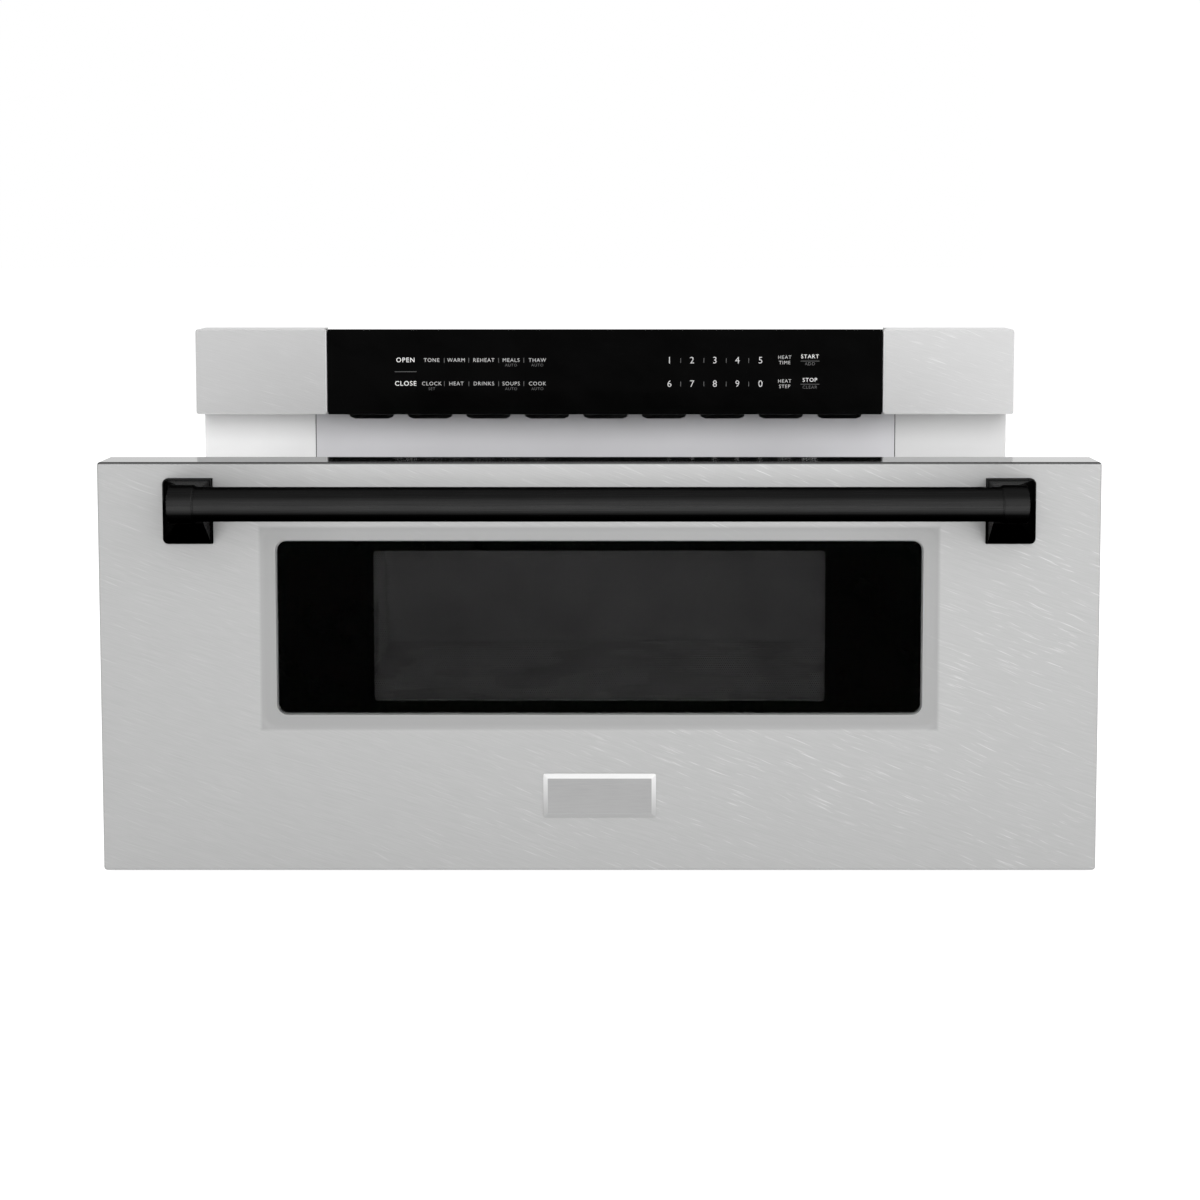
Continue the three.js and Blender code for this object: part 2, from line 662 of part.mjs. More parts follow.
const SMALL_MOTOR = { radius: 24, tall: 20, ears: 34, earHalf: 7, earThick: 1.5, bore: 12 };
function stirrerMotor() {
  const low = guideTop + SEAT;
  const { radius, tall, ears, earHalf, earThick, bore } = SMALL_MOTOR;
  const can = alongZ(circle(0, domeY, radius, 16), low, low + tall);
  const strap = alongZ(rectangle(-ears, ears, domeY - earHalf, domeY + earHalf, 6), low, low + earThick);
  return cut(join(can, strap), alongZ(circle(0, domeY, STIRRER_SHAFT + SEAT, 16), low - 1, low + bore));
}
piece("stirrer_motor", stirrerMotor(), motorSteel);

// ---------------------------------------------------------------- cooling
const fanY = cavityBack + CAVITY_SHEET + FAN_BEHIND_CAVITY;
const fanX = [FAN_SIDE, FAN_SIDE + FAN_DEPTH];

const SHROUD_SHEET = 2;
const SHROUD_TAB = { long: 20, clear: 10 };
function fanShroud() {
  const half = SHROUD_HALF;
  const outline = rectangle(fanY - half, innerBack, FAN_CENTER_HEIGHT - half, FAN_CENTER_HEIGHT + half, 8);
  const mouth = circle(fanY, FAN_CENTER_HEIGHT, FAN_RADIUS + FAN_PLAY, 32);
  const rim = circle(fanY, FAN_CENTER_HEIGHT, FAN_RADIUS + FAN_PLAY + SHROUD_SHEET, 32);
  const tab = block([fanX[0], fanX[0] + SHROUD_TAB.long], [innerBack - SHROUD_SHEET, innerBack], [
    FAN_CENTER_HEIGHT - half + SHROUD_TAB.clear,
    FAN_CENTER_HEIGHT + half - SHROUD_TAB.clear,
  ]);
  return join(
    alongX(outline, fanX[0], fanX[0] + SHROUD_SHEET, [mouth]),
    alongX(rim, fanX[0], fanX[1], [mouth]),
    tab,
  );
}
piece("fan_shroud", fanShroud(), blackPlastic);

const BLADE = { thick: 1.6, chord: 30, start: 12, pitch: 0.5 };
const FAN_HUB = { radius: 17, ahead: 3, behind: 2 };
const FAN_SHAFT = { radius: 3, reach: 14 };
function fanBlade(turn) {
  const reach = FAN_RADIUS - BLADE.start;
  const blade = new THREE.BoxGeometry(BLADE.thick, BLADE.chord, reach);
  blade.rotateZ(BLADE.pitch).translate(0, 0, BLADE.start + reach / 2).rotateX(turn);
  return solid(blade.translate(fanX[0] + FAN_DEPTH / 2, fanY, FAN_CENTER_HEIGHT));
}
function fanWheel() {
  const blades = [];
  for (let i = 0; i < FAN_BLADES; i++) blades.push(fanBlade((i / FAN_BLADES) * 2 * Math.PI));
  const hubCircle = circle(fanY, FAN_CENTER_HEIGHT, FAN_HUB.radius, 24);
  const hub = alongX(hubCircle, fanX[0] + FAN_HUB.ahead, fanX[1] - FAN_HUB.behind);
  const shaftCircle = circle(fanY, FAN_CENTER_HEIGHT, FAN_SHAFT.radius, 12);
  const shaft = alongX(shaftCircle, fanX[1] - FAN_HUB.behind - 1, fanX[1] + FAN_SHAFT.reach);
  return join(hub, shaft, blades);
}
piece("fan_wheel", fanWheel(), greyPlastic);

// The fan's motor, on three arms that reach the shroud's rim
const FAN_MOTOR = { radius: 24, long: 34, arm: 12, armThick: 4 };
function fanMotor() {
  const x0 = fanX[1] + SEAT;
  const { radius, long, arm, armThick } = FAN_MOTOR;
  const can = alongX(circle(fanY, FAN_CENTER_HEIGHT, radius, 24), x0 + armThick / 2, x0 + long);
  const reach = FAN_RADIUS + FAN_PLAY + SHROUD_SHEET;
  const arms = [0, 1, 2].map((i) => {
    const bar = new THREE.BoxGeometry(armThick, arm, reach);
    bar.translate(x0 + armThick / 2, 0, reach / 2).rotateX(Math.PI / 3 + (i * 2 * Math.PI) / 3);
    return solid(bar.translate(0, fanY, FAN_CENTER_HEIGHT));
  });
  const holeCircle = circle(fanY, FAN_CENTER_HEIGHT, FAN_SHAFT.radius + SEAT, 12);
  return cut(join(can, arms), alongX(holeCircle, x0 - 2, fanX[1] + FAN_SHAFT.reach + 4));
}
piece("fan_motor", fanMotor(), motorSteel);

// The plenum behind the vent slots
const DUCT_DEPTH = 120;
const DUCT_WALL = 2;
const DUCT_MARGIN = 8; // round the vent slots
const DUCT_STEP = { rise: 12, run: 30 };
const DUCT_INLET = { start: 20, width: 130, margin: 6 };
function exhaustDuct() {
  const half = ((VENT_COUNT - 1) * VENT_PITCH + VENT_WIDTH) / 2 + DUCT_MARGIN;
  const low = panelBottom - VENT_DROP - DUCT_MARGIN;
  const high = panelBottom - VENT_DROP + VENT_HEIGHT + DUCT_MARGIN;
  const top = high + DUCT_STEP.rise;
  const [front, bend, back] = [innerFront, innerFront + DUCT_STEP.run, innerFront + DUCT_DEPTH];
  const wedge = [
    [front, low], [back, low], [back, top], [bend, top], [front, high],
  ].map(([y, z]) => new THREE.Vector2(y, z));
  const w = DUCT_WALL;
  const room = [
    [front - 1, low + w], [back - w, low + w], [back - w, top - w], [bend + 1, top - w],
    [front - 1, high - w],
  ].map(([y, z]) => new THREE.Vector2(y, z));
  const inlet = block(
    [-half + DUCT_INLET.start, -half + DUCT_INLET.start + DUCT_INLET.width],
    [back - w - 1, back + 1],
    [low + DUCT_INLET.margin, high],
  );
  return cut(alongX(wedge, -half, half), alongX(room, -half + w, half - w), inlet);
}
piece("exhaust_duct", exhaustDuct(), greyPlastic);

// ---------------------------------------------------------------- the electric parts on the base
const baseTop = CASE_SHEET + SEAT;

const CORE = { side: -250, behind: 10, half: 50, tall: 78, thick: 28 };
const WINDING = { half: 34, low: 14, high: 64, reach: 48, corner: 12 };
const CORE_FOOT = { wide: 36, long: 62, thick: 3 };
function transformer() {
  const [x, y] = [CORE.side, magnetronY + CORE.behind];
  const core = alongX(
    rectangle(y - CORE.half, y + CORE.half, baseTop, baseTop + CORE.tall, 2), x - CORE.thick, x + CORE.thick,
  );
  const turns = rectangle(
    y - WINDING.half, y + WINDING.half, baseTop + WINDING.low, baseTop + WINDING.high, WINDING.corner,
  );
  const windings = alongX(turns, x - WINDING.reach, x + WINDING.reach);
  const feet = block(
    [x - CORE_FOOT.wide, x + CORE_FOOT.wide],
    [y - CORE_FOOT.long, y + CORE_FOOT.long],
    [baseTop, baseTop + CORE_FOOT.thick],
  );
  return join(core, windings, feet);
}
piece("hv_transformer", transformer(), ironCore);

const CAN = { side: -120, behind: 20, half: 26, tall: 34, corner: 16, long: 45 };
const POST = { apart: 12, radius: 4, reach: 12 };
function capacitor() {
  const [x, y] = [CAN.side, magnetronY + CAN.behind];
  const outline = rectangle(x - CAN.half, x + CAN.half, baseTop, baseTop + CAN.tall, CAN.corner, 4);
  const can = alongY(outline, y - CAN.long, y + CAN.long);
  const posts = [-POST.apart, POST.apart].map((dx) =>
    alongY(
      circle(x + dx, baseTop + CAN.tall / 2, POST.radius, 10), y - CAN.long - POST.reach, y - CAN.long + 1,
    ),
  );
  return join(can, posts);
}
piece("hv_capacitor", capacitor(), motorSteel);

const FILTER = { side: -10, height: 150, wide: 45, tall: 35, stand: 12, thick: 1.6, posts: 38 };
const FILTER_COIL = { side: -18, radius: 16, deep: 22 };
const FILTER_BOX = { low: 12, high: 32, tall: 16, deep: 18 };
function filterBoard() {
  const [x, z] = [INLET_SIDE + FILTER.side, FILTER.height];
  const front = innerBack - FILTER.stand;
  const outline = rectangle(x - FILTER.wide, x + FILTER.wide, z - FILTER.tall, z + FILTER.tall, 2);
  const board = alongY(outline, front, front + FILTER.thick);
  const posts = [-FILTER.posts, FILTER.posts].map((dx) =>
    alongY(circle(x + dx, z, POST.radius, 10), front + 1, innerBack),
  );
  const winding = circle(x + FILTER_COIL.side, z, FILTER_COIL.radius, 16);
  const choke = alongY(winding, front - FILTER_COIL.deep, front + 1);
  const box = block(
    [x + FILTER_BOX.low, x + FILTER_BOX.high],
    [front - FILTER_BOX.deep, front + 1],
    [z - FILTER_BOX.tall, z + FILTER_BOX.tall],
  );
  return join(board, posts, choke, box);
}
piece("filter_board", filterBoard(), circuitGreen);

// ---------------------------------------------------------------- the control panel
const housingHalf = faceHalf - PANEL_SHEET - SEAT;
const housingFront = doorFront + TOUCH_THICK + SEAT;
const touchHalf = TOUCH_WIDTH / 2;

const HOUSING_RIB = { count: 8, pitch: 96, thick: 2, deep: 16 };
function controlHousing() {
  const back = faceFront - SEAT;
  const [low, high] = [panelBottom + PANEL_SHEET + SEAT, panelTop - PANEL_SHEET - SEAT];
  const w = HOUSING_WALL;
  const tray = cut(
    block([-housingHalf, housingHalf], [housingFront, back], [low, high]),
    block([-housingHalf + w, housingHalf - w], [housingFront - 1, back - w], [low + w, high - w]),
  );
  const ribs = [];
  for (let i = 0; i < HOUSING_RIB.count; i++) {
    const x = (i - (HOUSING_RIB.count - 1) / 2) * HOUSING_RIB.pitch;
    const across = [x - HOUSING_RIB.thick / 2, x + HOUSING_RIB.thick / 2];
    ribs.push(block(across, [back - w - HOUSING_RIB.deep, back - w + 1], [low + 1, high - 1]));
  }
  return join(tray, ribs);
}
piece("control_housing", controlHousing(), blackPlastic);

const touchSpan = [-touchHalf, touchHalf];
piece(
  "touch_glass",
  softSlab(touchSpan, [doorFront, doorFront + TOUCH_THICK], [panelBottom, panelTop], 1, 0.6),
  blackGlass,
);

for (const [name, side] of SIDES) {
  const outer = span(side, touchHalf + TOUCH_GAP, faceHalf);
  const inner = span(side, touchHalf + TOUCH_GAP - 5, faceHalf - PANEL_SHEET);
  const back = faceFront - 1;
  const shell = softSlab(outer, [doorFront, back], [panelBottom, panelTop], 2, PANEL_EDGE);
  const room = block(
    inner,
    [doorFront + PANEL_SHEET, back + 1],
    [panelBottom + PANEL_SHEET, panelTop - PANEL_SHEET],
  );
  piece("control_end_" + name, cut(shell, room), brushedSteel);
}

const DISPLAY = { left: 15, right: 80, half: 14, deep: 6 };
function controlBoard() {
  const z = (panelBottom + panelTop) / 2;
  const back = faceFront - SEAT - HOUSING_WALL - HOUSING_RIB.deep - SEAT;
  const [hx, hz] = [BOARD_WIDTH / 2, BOARD_HEIGHT / 2];
  const front = back - BOARD_THICK;
  const board = alongY(rectangle(-hx, hx, z - hz, z + hz, 2), front, back);
  const across = [-hx + DISPLAY.left, hx - DISPLAY.right];
  const display = block(across, [front - DISPLAY.deep, front + 1], [z - DISPLAY.half, z + DISPLAY.half]);
  return join(board, display);
}
piece("control_board", controlBoard(), circuitGreen);

// ---------------------------------------------------------------- the slides
// Three channels in each other, with the balls' play between them.
const slideFront = innerFront + SLIDE_SET_BACK;
const slideBack = slideFront + SLIDE_LENGTH;

function channel(side, step, open) {
  const depth = step * SLIDE_STEP;
  const half = SLIDE_HEIGHT / 2 - depth;
  const [wall, lip] = [slideOuter - depth, slideOuter - open];
  const s = SLIDE_SHEET;
  const outline = [
    [wall, -half], [wall, half], [lip, half], [lip, half - s], [wall - s, half - s],
    [wall - s, s - half], [lip, s - half], [lip, -half],
  ].map(([x, z]) => new THREE.Vector2(side * x, SLIDE_CENTER + z));
  if (side > 0) outline.reverse();
  const holes = [0.12, 0.45, 0.8].map((share) => {
    const y = slideFront + share * SLIDE_LENGTH;
    const slot = rectangle(y - 8, y + 8, SLIDE_CENTER - 3, SLIDE_CENTER + 3, 3, 1);
    return alongX(slot, ...span(side, wall - s - 1, wall + 1));
  });
  return cut(alongY(outline, slideFront, slideBack), holes);
}

for (const [name, side] of SIDES) {
  piece("slide_outer_" + name, channel(side, 0, SLIDE_DEPTH - 4), zincSheet);
  piece("slide_middle_" + name, channel(side, 1, SLIDE_DEPTH - 2), polishedSteel, slideMiddles);
  piece("slide_inner_" + name, channel(side, 2, SLIDE_DEPTH), polishedSteel, drawer);
}

// An angle that ties the inner channel to the door's back
for (const [name, side] of SIDES) {
  const web = slideOuter - 2 * SLIDE_STEP - SLIDE_SHEET - SEAT;
  const [front, plate] = [doorBack + SEAT, 2];
  const half = SLIDE_HEIGHT / 2 - 2 * SLIDE_STEP - SLIDE_SHEET - 2;
  const tall = [SLIDE_CENTER - half, SLIDE_CENTER + half];
  const leg = block(span(side, web - plate, web), [front, slideFront + BRACKET_LENGTH], tall);
  const arm = block(span(side, web - BRACKET_ARM, web), [front, front + plate], tall);
  piece("slide_bracket_" + name, join(leg, arm), zincSheet, drawer);
}

// ---------------------------------------------------------------- the rack and pinion
const toothPitch = Math.PI * TOOTH_MODULE;
const flankSlope = Math.tan((20 * Math.PI) / 180);

function rack() {
  const half = GEAR_WIDTH / 2;
  const root = RACK_UNDERSIDE + RACK_BODY;
  const tip = rackPitchLine + 0.88 * TOOTH_MODULE;
  const lead = 2 * toothPitch;
  const end = pinionY + TRAVEL + lead;
  const start = doorBack + SEAT;
  const teeth = Math.floor((TRAVEL + 2 * lead) / toothPitch);
  const outline = [[start, RACK_UNDERSIDE], [end, RACK_UNDERSIDE], [end, root]];
  for (let i = 0; i < teeth; i++) {
    const middle = end - (i + 0.5) * toothPitch;
    const width = toothPitch / 4 - BACKLASH / 2;
    const [foot, top] = [
      width + (rackPitchLine - root) * flankSlope,
      width - (tip - rackPitchLine) * flankSlope,
    ];
    outline.push([middle + foot, root], [middle + top, tip], [middle - top, tip], [middle - foot, root]);
  }
  outline.push([start, root]);
  const bar = alongX(outline.map(([y, z]) => new THREE.Vector2(y, z)), -half, half);
  const foot = alongY(
    rectangle(-22, 22, RACK_UNDERSIDE - 4, root + 14, 4),
    start,
    start + 2.5,
  );
  return join(bar, foot);
}
piece("drive_rack", rack(), greyPlastic, drawer);

// Half the angle that a tooth takes up at a radius, on an involute flank
function toothHalfAngle(radius) {
  const involute = (angle) => Math.tan(angle) - angle;
  const pressure = (20 * Math.PI) / 180;
  const base = pitchRadius * Math.cos(pressure);
  const here = involute(Math.acos(Math.min(1, base / Math.max(radius, base))));
  return Math.PI / (2 * PINION_TEETH) - BACKLASH / (2 * pitchRadius) + involute(pressure) - here;
}

function pinion() {
  const half = GEAR_WIDTH / 2;
  const m = TOOTH_MODULE;
  const radii = [pitchRadius - 1.2 * m, pitchRadius, pitchRadius + 0.95 * m];
  const points = [];
  for (let i = 0; i < PINION_TEETH; i++) {
    const middle = -Math.PI / 2 + (i * 2 * Math.PI) / PINION_TEETH;
    const flank = (radius, sign) => {
      const angle = middle + sign * toothHalfAngle(radius);
      points.push(
        new THREE.Vector2(pinionY + radius * Math.cos(angle), pinionHeight + radius * Math.sin(angle)),
      );
    };
    radii.forEach((radius) => flank(radius, -1));
    radii.slice().reverse().forEach((radius) => flank(radius, 1));
  }
  const gear = alongX(points, -half + 1, half - 1);
  const shaft = alongX(circle(pinionY, pinionHeight, SHAFT_RADIUS, 20), -half - 2, half + 18);
  const hub = alongX(circle(pinionY, pinionHeight, SHAFT_RADIUS + 4, 20), half - 2, half + 2);
  return join(gear, hub, shaft);
}
piece("drive_pinion", pinion(), greyPlastic);

const GEARBOX_GAP = 4; // beside the gear
const SHOE_INSET = 8;
const CHEEK_RISE = 7;
const BEARING_DEPTH = 18;
function gearbox() {
  const x0 = GEAR_WIDTH / 2 + GEARBOX_GAP;
  const y0 = innerFront + SEAT + CASE_SHEET * 2;
  const back = y0 + GEARBOX_LENGTH;
  const shell = alongX(rectangle(y0, back, baseTop, baseTop + GEARBOX_HEIGHT, 6), x0, x0 + GEARBOX_WIDTH);
  const low = RACK_UNDERSIDE - SEAT;
  const along = [y0 + SHOE_INSET, back - SHOE_INSET];
  const shoe = block([-rackSlotHalf, x0 + 1], along, [baseTop, low]);
  const cheek = block([-rackSlotHalf, -GEAR_WIDTH / 2 - 1], along, [baseTop, low + CHEEK_RISE]);
  const bore = circle(pinionY, pinionHeight, SHAFT_RADIUS + SEAT + 0.1, 20);
  const bearing = alongX(bore, x0 - 1, x0 + BEARING_DEPTH);
  return cut(join(shell, shoe, cheek), bearing);
}
piece("drive_gearbox", gearbox(), blackPlastic);

const MOTOR_PLACE = { behind: 8, lift: 4 };
const MOTOR_BOSS = { radius: 7, reach: 4 };
function driveMotor() {
  const x0 = GEAR_WIDTH / 2 + GEARBOX_GAP + GEARBOX_WIDTH + SEAT;
  const end = x0 + MOTOR_LENGTH;
  const [y, z] = [pinionY + MOTOR_PLACE.behind, baseTop + MOTOR_RADIUS + MOTOR_PLACE.lift];
  const can = alongX(circle(y, z, MOTOR_RADIUS, 24), x0, end);
  const boss = alongX(circle(y, z, MOTOR_BOSS.radius, 16), end - 1, end + MOTOR_BOSS.reach);
  return join(can, boss);
}
piece("drive_motor", driveMotor(), motorSteel);

// ---------------------------------------------------------------- hooks and interlocks
for (const [name, side] of SIDES) {
  const x = side * HOOK_CENTER;
  const half = HOOK_TALL / 2;
  const [front, tip] = [doorBack + SEAT, doorBack + HOOK_LENGTH];
  const nose = [
    [front, -half], [tip - 6, -half], [tip, -half + 8], [tip - 3, half - 6], [tip - 12, half - 6],
    [tip - 12, half], [front, half],
  ].map(([y, z]) => new THREE.Vector2(y, HOOK_HEIGHT + z));
  const plate = alongY(
    rectangle(x - 12, x + 12, HOOK_HEIGHT - 18, HOOK_HEIGHT + 18, 3),
    front,
    front + 2,
  );
  const hook = join(alongX(nose, x - HOOK_THICK / 2, x + HOOK_THICK / 2), plate);
  piece("latch_hook_" + name, hook, blackPlastic, drawer);

  const [y0, y1] = [innerFront, innerFront + LATCH_DEPTH];
  const slotHalf = HOOK_THICK / 2 + LATCH_PLAY;
  const slotTall = HOOK_TALL / 2 + LATCH_PLAY;
  const body = block(
    [x - LATCH_WIDTH / 2, x + LATCH_WIDTH / 2],
    [y0, y1],
    [HOOK_HEIGHT - LATCH_TALL / 2, HOOK_HEIGHT + LATCH_TALL / 2],
  );
  const mouth = block(
    [x - slotHalf, x + slotHalf],
    [y0 - 1, doorBack + HOOK_LENGTH + LATCH_PLAY],
    [HOOK_HEIGHT - slotTall, HOOK_HEIGHT + slotTall],
  );
  const terminals = [-14, 0, 14].map((dz) =>
    block([x - 1, x + 1], [y1 - 1, y1 + 9], [HOOK_HEIGHT + dz - 3, HOOK_HEIGHT + dz + 3]),
  );
  piece("interlock_switch_" + name, join(cut(body, mouth), terminals), greyPlastic);
}

// ---------------------------------------------------------------- the door
const doorHalf = DOOR_WIDTH / 2;
const recessTop = doorTop - RECESS_DROP;
const recessFloor = doorFront + RECESS_DEPTH;
const recessHalf = RECESS_WIDTH / 2;
const sightLow = glassMiddle - SIGHT_HEIGHT / 2;
const sightHigh = glassMiddle + SIGHT_HEIGHT / 2;
const sightHalf = SIGHT_WIDTH / 2;
const footMiddle = doorTop - FOOT_DROP - FOOT_HEIGHT / 2;

function handleScrewHole(side, radius, y0, y1) {
  return alongY(circle(side * FOOT_CENTER, footMiddle, radius, 16), y0, y1);
}

function doorSkin() {
  const s = DOOR_SHEET;
  const outer = softSlab(
    [-doorHalf, doorHalf], [doorFront, doorBack + 0.5], [DOOR_BOTTOM, doorTop], DOOR_CORNER, DOOR_EDGE,
  );
  const room = block(
    [-doorHalf + s, doorHalf - s], [doorFront + s, doorBack + 2], [DOOR_BOTTOM + s, doorTop - s],
  );
  const [low, high] = [recessTop - RECESS_HEIGHT, recessTop];
  const pan = alongY(
    rectangle(-recessHalf - s, recessHalf + s, low - s, high + s, RECESS_CORNER + s, 4),
    doorFront + s / 2,
    recessFloor + s,
  );
  const pocket = loft([
    sectionAt(doorFront - 0.1, -recessHalf, recessHalf, low, high, RECESS_CORNER, 4),
    sectionAt(recessFloor, -recessHalf + 1.2, recessHalf - 1.2, low + 1.2, high - 1.2, RECESS_CORNER, 4),
  ]);
  const sight = alongY(
    rectangle(-sightHalf, sightHalf, sightLow, sightHigh, 4), doorFront - 1, recessFloor + s + 1,
  );
  const screwHoles = SIDES.map(([, side]) =>
    handleScrewHole(side, HANDLE_SCREW + SEAT, doorFront - 1, doorFront + s + 1),
  );
  return cut(join(cut(outer, room), pan), pocket, sight, screwHoles);
}
piece("door_skin", doorSkin(), brushedSteel, drawer);

// The door's inner pan: a rim, the choke's groove round the opening, and a collar round the window
const chokeHalf = cavityHalf + CHOKE_WIDTH + 2;
const chokeLow = CAVITY_FLOOR - CHOKE_WIDTH - 2;
const chokeHigh = cavityTop + CHOKE_WIDTH + 2;
const frameHalf = doorHalf - DOOR_SHEET - SEAT;
const frameLow = DOOR_BOTTOM + DOOR_SHEET + SEAT;
const frameHigh = doorTop - DOOR_SHEET - SEAT;
const screenBack = recessFloor + DOOR_SHEET + 1.2 + SCREEN_LIP;

function doorFrame() {
  const s = FRAME_SHEET;
  const rimFront = doorBack - FRAME_RIM;
  const outline = rectangle(-frameHalf, frameHalf, frameLow, frameHigh, 2);
  const inner = rectangle(-frameHalf + s, frameHalf - s, frameLow + s, frameHigh - s, 1.5);
  const sight = rectangle(-sightHalf, sightHalf, sightLow, sightHigh, 4);
  const collar = rectangle(-sightHalf - s, sightHalf + s, sightLow - s, sightHigh + s, 4 + s);
  const plate = alongY(outline, doorBack - s, doorBack, [sight]);
  const rim = alongY(outline, rimFront, doorBack, [inner]);
  const tube = alongY(collar, screenBack + SEAT, doorBack, [sight]);
  const grooveOut = rectangle(-chokeHalf + 4, chokeHalf - 4, chokeLow + 4, chokeHigh - 4, 6);
  const grooveIn = rectangle(
    -chokeHalf + 4 + CHOKE_GROOVE,
    chokeHalf - 4 - CHOKE_GROOVE,
    chokeLow + 4 + CHOKE_GROOVE,
    chokeHigh - 4 - CHOKE_GROOVE,
    4,
  );
  const trough = alongY(
    rectangle(-chokeHalf + 4 - s, chokeHalf - 4 + s, chokeLow + 4 - s, chokeHigh - 4 + s, 6 + s),
    doorBack - 14,
    doorBack,
    [
      rectangle(
        -chokeHalf + 4 + CHOKE_GROOVE + s,
        chokeHalf - 4 - CHOKE_GROOVE - s,
        chokeLow + 4 + CHOKE_GROOVE + s,
        chokeHigh - 4 - CHOKE_GROOVE - s,
        3,
      ),
    ],
  );
  const groove = alongY(grooveOut, doorBack - 14 + s, doorBack + 1, [grooveIn]);
  return cut(join(plate, rim, tube, trough), groove);
}
piece("door_frame", doorFrame(), zincSheet, drawer);

// The plastic cover over the choke's groove, which faces the fixed face when the drawer is shut
function chokeCover() {
  const inner = 4;
  return alongY(
    rectangle(-chokeHalf, chokeHalf, chokeLow, chokeHigh, 8),
    doorBack + SEAT,
    doorBack + SEAT + CHOKE_THICK,
    [rectangle(-cavityHalf - inner, cavityHalf + inner, CAVITY_FLOOR - inner, cavityTop + inner, 6)],
  );
}
piece("choke_cover", chokeCover(), blackPlastic, drawer);

function windowGlass() {
  const half = GLASS_WIDTH / 2;
  const back = recessFloor - SEAT;
  const glassLow = glassTop - GLASS_HEIGHT;
  return softSlab([-half, half], [back - GLASS_THICK, back], [glassLow, glassTop], GLASS_CORNER, 0.8);
}
piece("window_glass", windowGlass(), blackGlass, drawer);

// The perforated screen, a shallow pan that stands on the collar's front edge
function windowScreen() {
  const s = SCREEN_SHEET;
  const [half, low, high] = [sightHalf + 1, sightLow - 1, sightHigh + 1];
  const front = screenBack - SCREEN_LIP;
  const sheet = alongY(rectangle(-half, half, low, high, 4), front, front + s);
  const outline = rectangle(-half, half, low, high, 4);
  const inner = rectangle(-half + s, half - s, low + s, high - s, 3.2);
  return join(sheet, alongY(outline, front, screenBack, [inner]));
}
piece("window_screen", windowScreen(), screenSteel, drawer);

const pane = rectangle(-sightHalf + SEAT, sightHalf - SEAT, sightLow + SEAT, sightHigh - SEAT, 3.5);
piece("window_inner_pane", alongY(pane, doorBack - 1 - PANE_THICK, doorBack - 1), clearGlass, drawer);

function plaque() {
  const [half, high] = [PLAQUE_WIDTH / 2, doorTop - PLAQUE_DROP];
  const low = high - PLAQUE_HEIGHT;
  const b = PLAQUE_BEVEL;
  const [back, front] = [doorFront - SEAT, doorFront - SEAT - PLAQUE_THICK];
  return loft([
    sectionAt(back, -half, half, low, high, 1.5),
    sectionAt(back - 0.6, -half, half, low, high, 1.5),
    sectionAt(front, -half + b, half - b, low + b, high - b, 1),
  ]);
}
piece("plaque", plaque(), brushedSteel, drawer);

// ---------------------------------------------------------------- the handle
// A cast bracket: a foot plate on the door, four flat facets that draw in as they come forward, and a collar
// on the bar
function handleBracket(side) {
  const x = side * FOOT_CENTER;
  const collarX = side * COLLAR_CENTER;
  const foot = doorFront - SEAT;
  const footTop = doorTop - FOOT_DROP;
  const footLow = footTop - FOOT_HEIGHT;
  const halfFoot = FOOT_WIDTH / 2;
  const [soft, halfCollar, halfArm] = [1.2, COLLAR_WIDTH / 2, ARM_HEIGHT / 2];
  const plate = softSlab(
    [x - halfFoot, x + halfFoot], [foot - FOOT_PLATE, foot], [footLow, footTop], FOOT_CORNER, soft,
  );
  const [c0, c1] = [collarX - halfCollar, collarX + halfCollar];
  const arm = loft([
    sectionAt(
      foot - FOOT_PLATE + 0.5, x - halfFoot + soft, x + halfFoot - soft, footLow + soft, footTop - soft,
      FOOT_CORNER - soft,
    ),
    sectionAt(barY, c0 + 0.2, c1 - 0.2, barHeight - halfArm, barHeight + halfArm, 1),
  ]);
  const collar = alongX(circle(barY, barHeight, COLLAR_RADIUS, 28), c0, c1);
  const capped = side > 0 ? [c0 - 1, c1 - 3] : [c0 + 3, c1 + 1];
  const socket = alongX(circle(barY, barHeight, BAR_RADIUS + SEAT, 28), ...capped);
  const screw = handleScrewHole(side, HANDLE_SCREW + SEAT, foot - 16, foot + 1);
  return cut(join(plate, arm, collar), socket, screw);
}

for (const [name, side] of SIDES) {
  piece("handle_bracket_" + name, handleBracket(side), darkHandle, drawer);
  const head = doorFront + DOOR_SHEET + SEAT;
  const screw = join(
    handleScrewHole(side, HANDLE_SCREW, doorFront - 14, head + 1),
    handleScrewHole(side, HANDLE_SCREW * 2, head, head + 3),
  );
  piece("handle_screw_" + name, screw, zincSheet, drawer);
}

const barEnd = COLLAR_CENTER + COLLAR_WIDTH / 2 - 3 - SEAT;
piece(
  "handle_bar",
  alongX(circle(barY, barHeight, BAR_RADIUS, 28), -barEnd, barEnd),
  darkHandle,
  drawer,
);

// ---------------------------------------------------------------- the drawer box
const boxHalf = cavityHalf - BOX_PLAY;
const boxFloor = CAVITY_FLOOR + BOX_LIFT;
const boxTop = cavityTop - BOX_TOP_PLAY;
const boxFront = doorBack + SEAT;
const boxBack = cavityBack - BOX_BACK_PLAY;

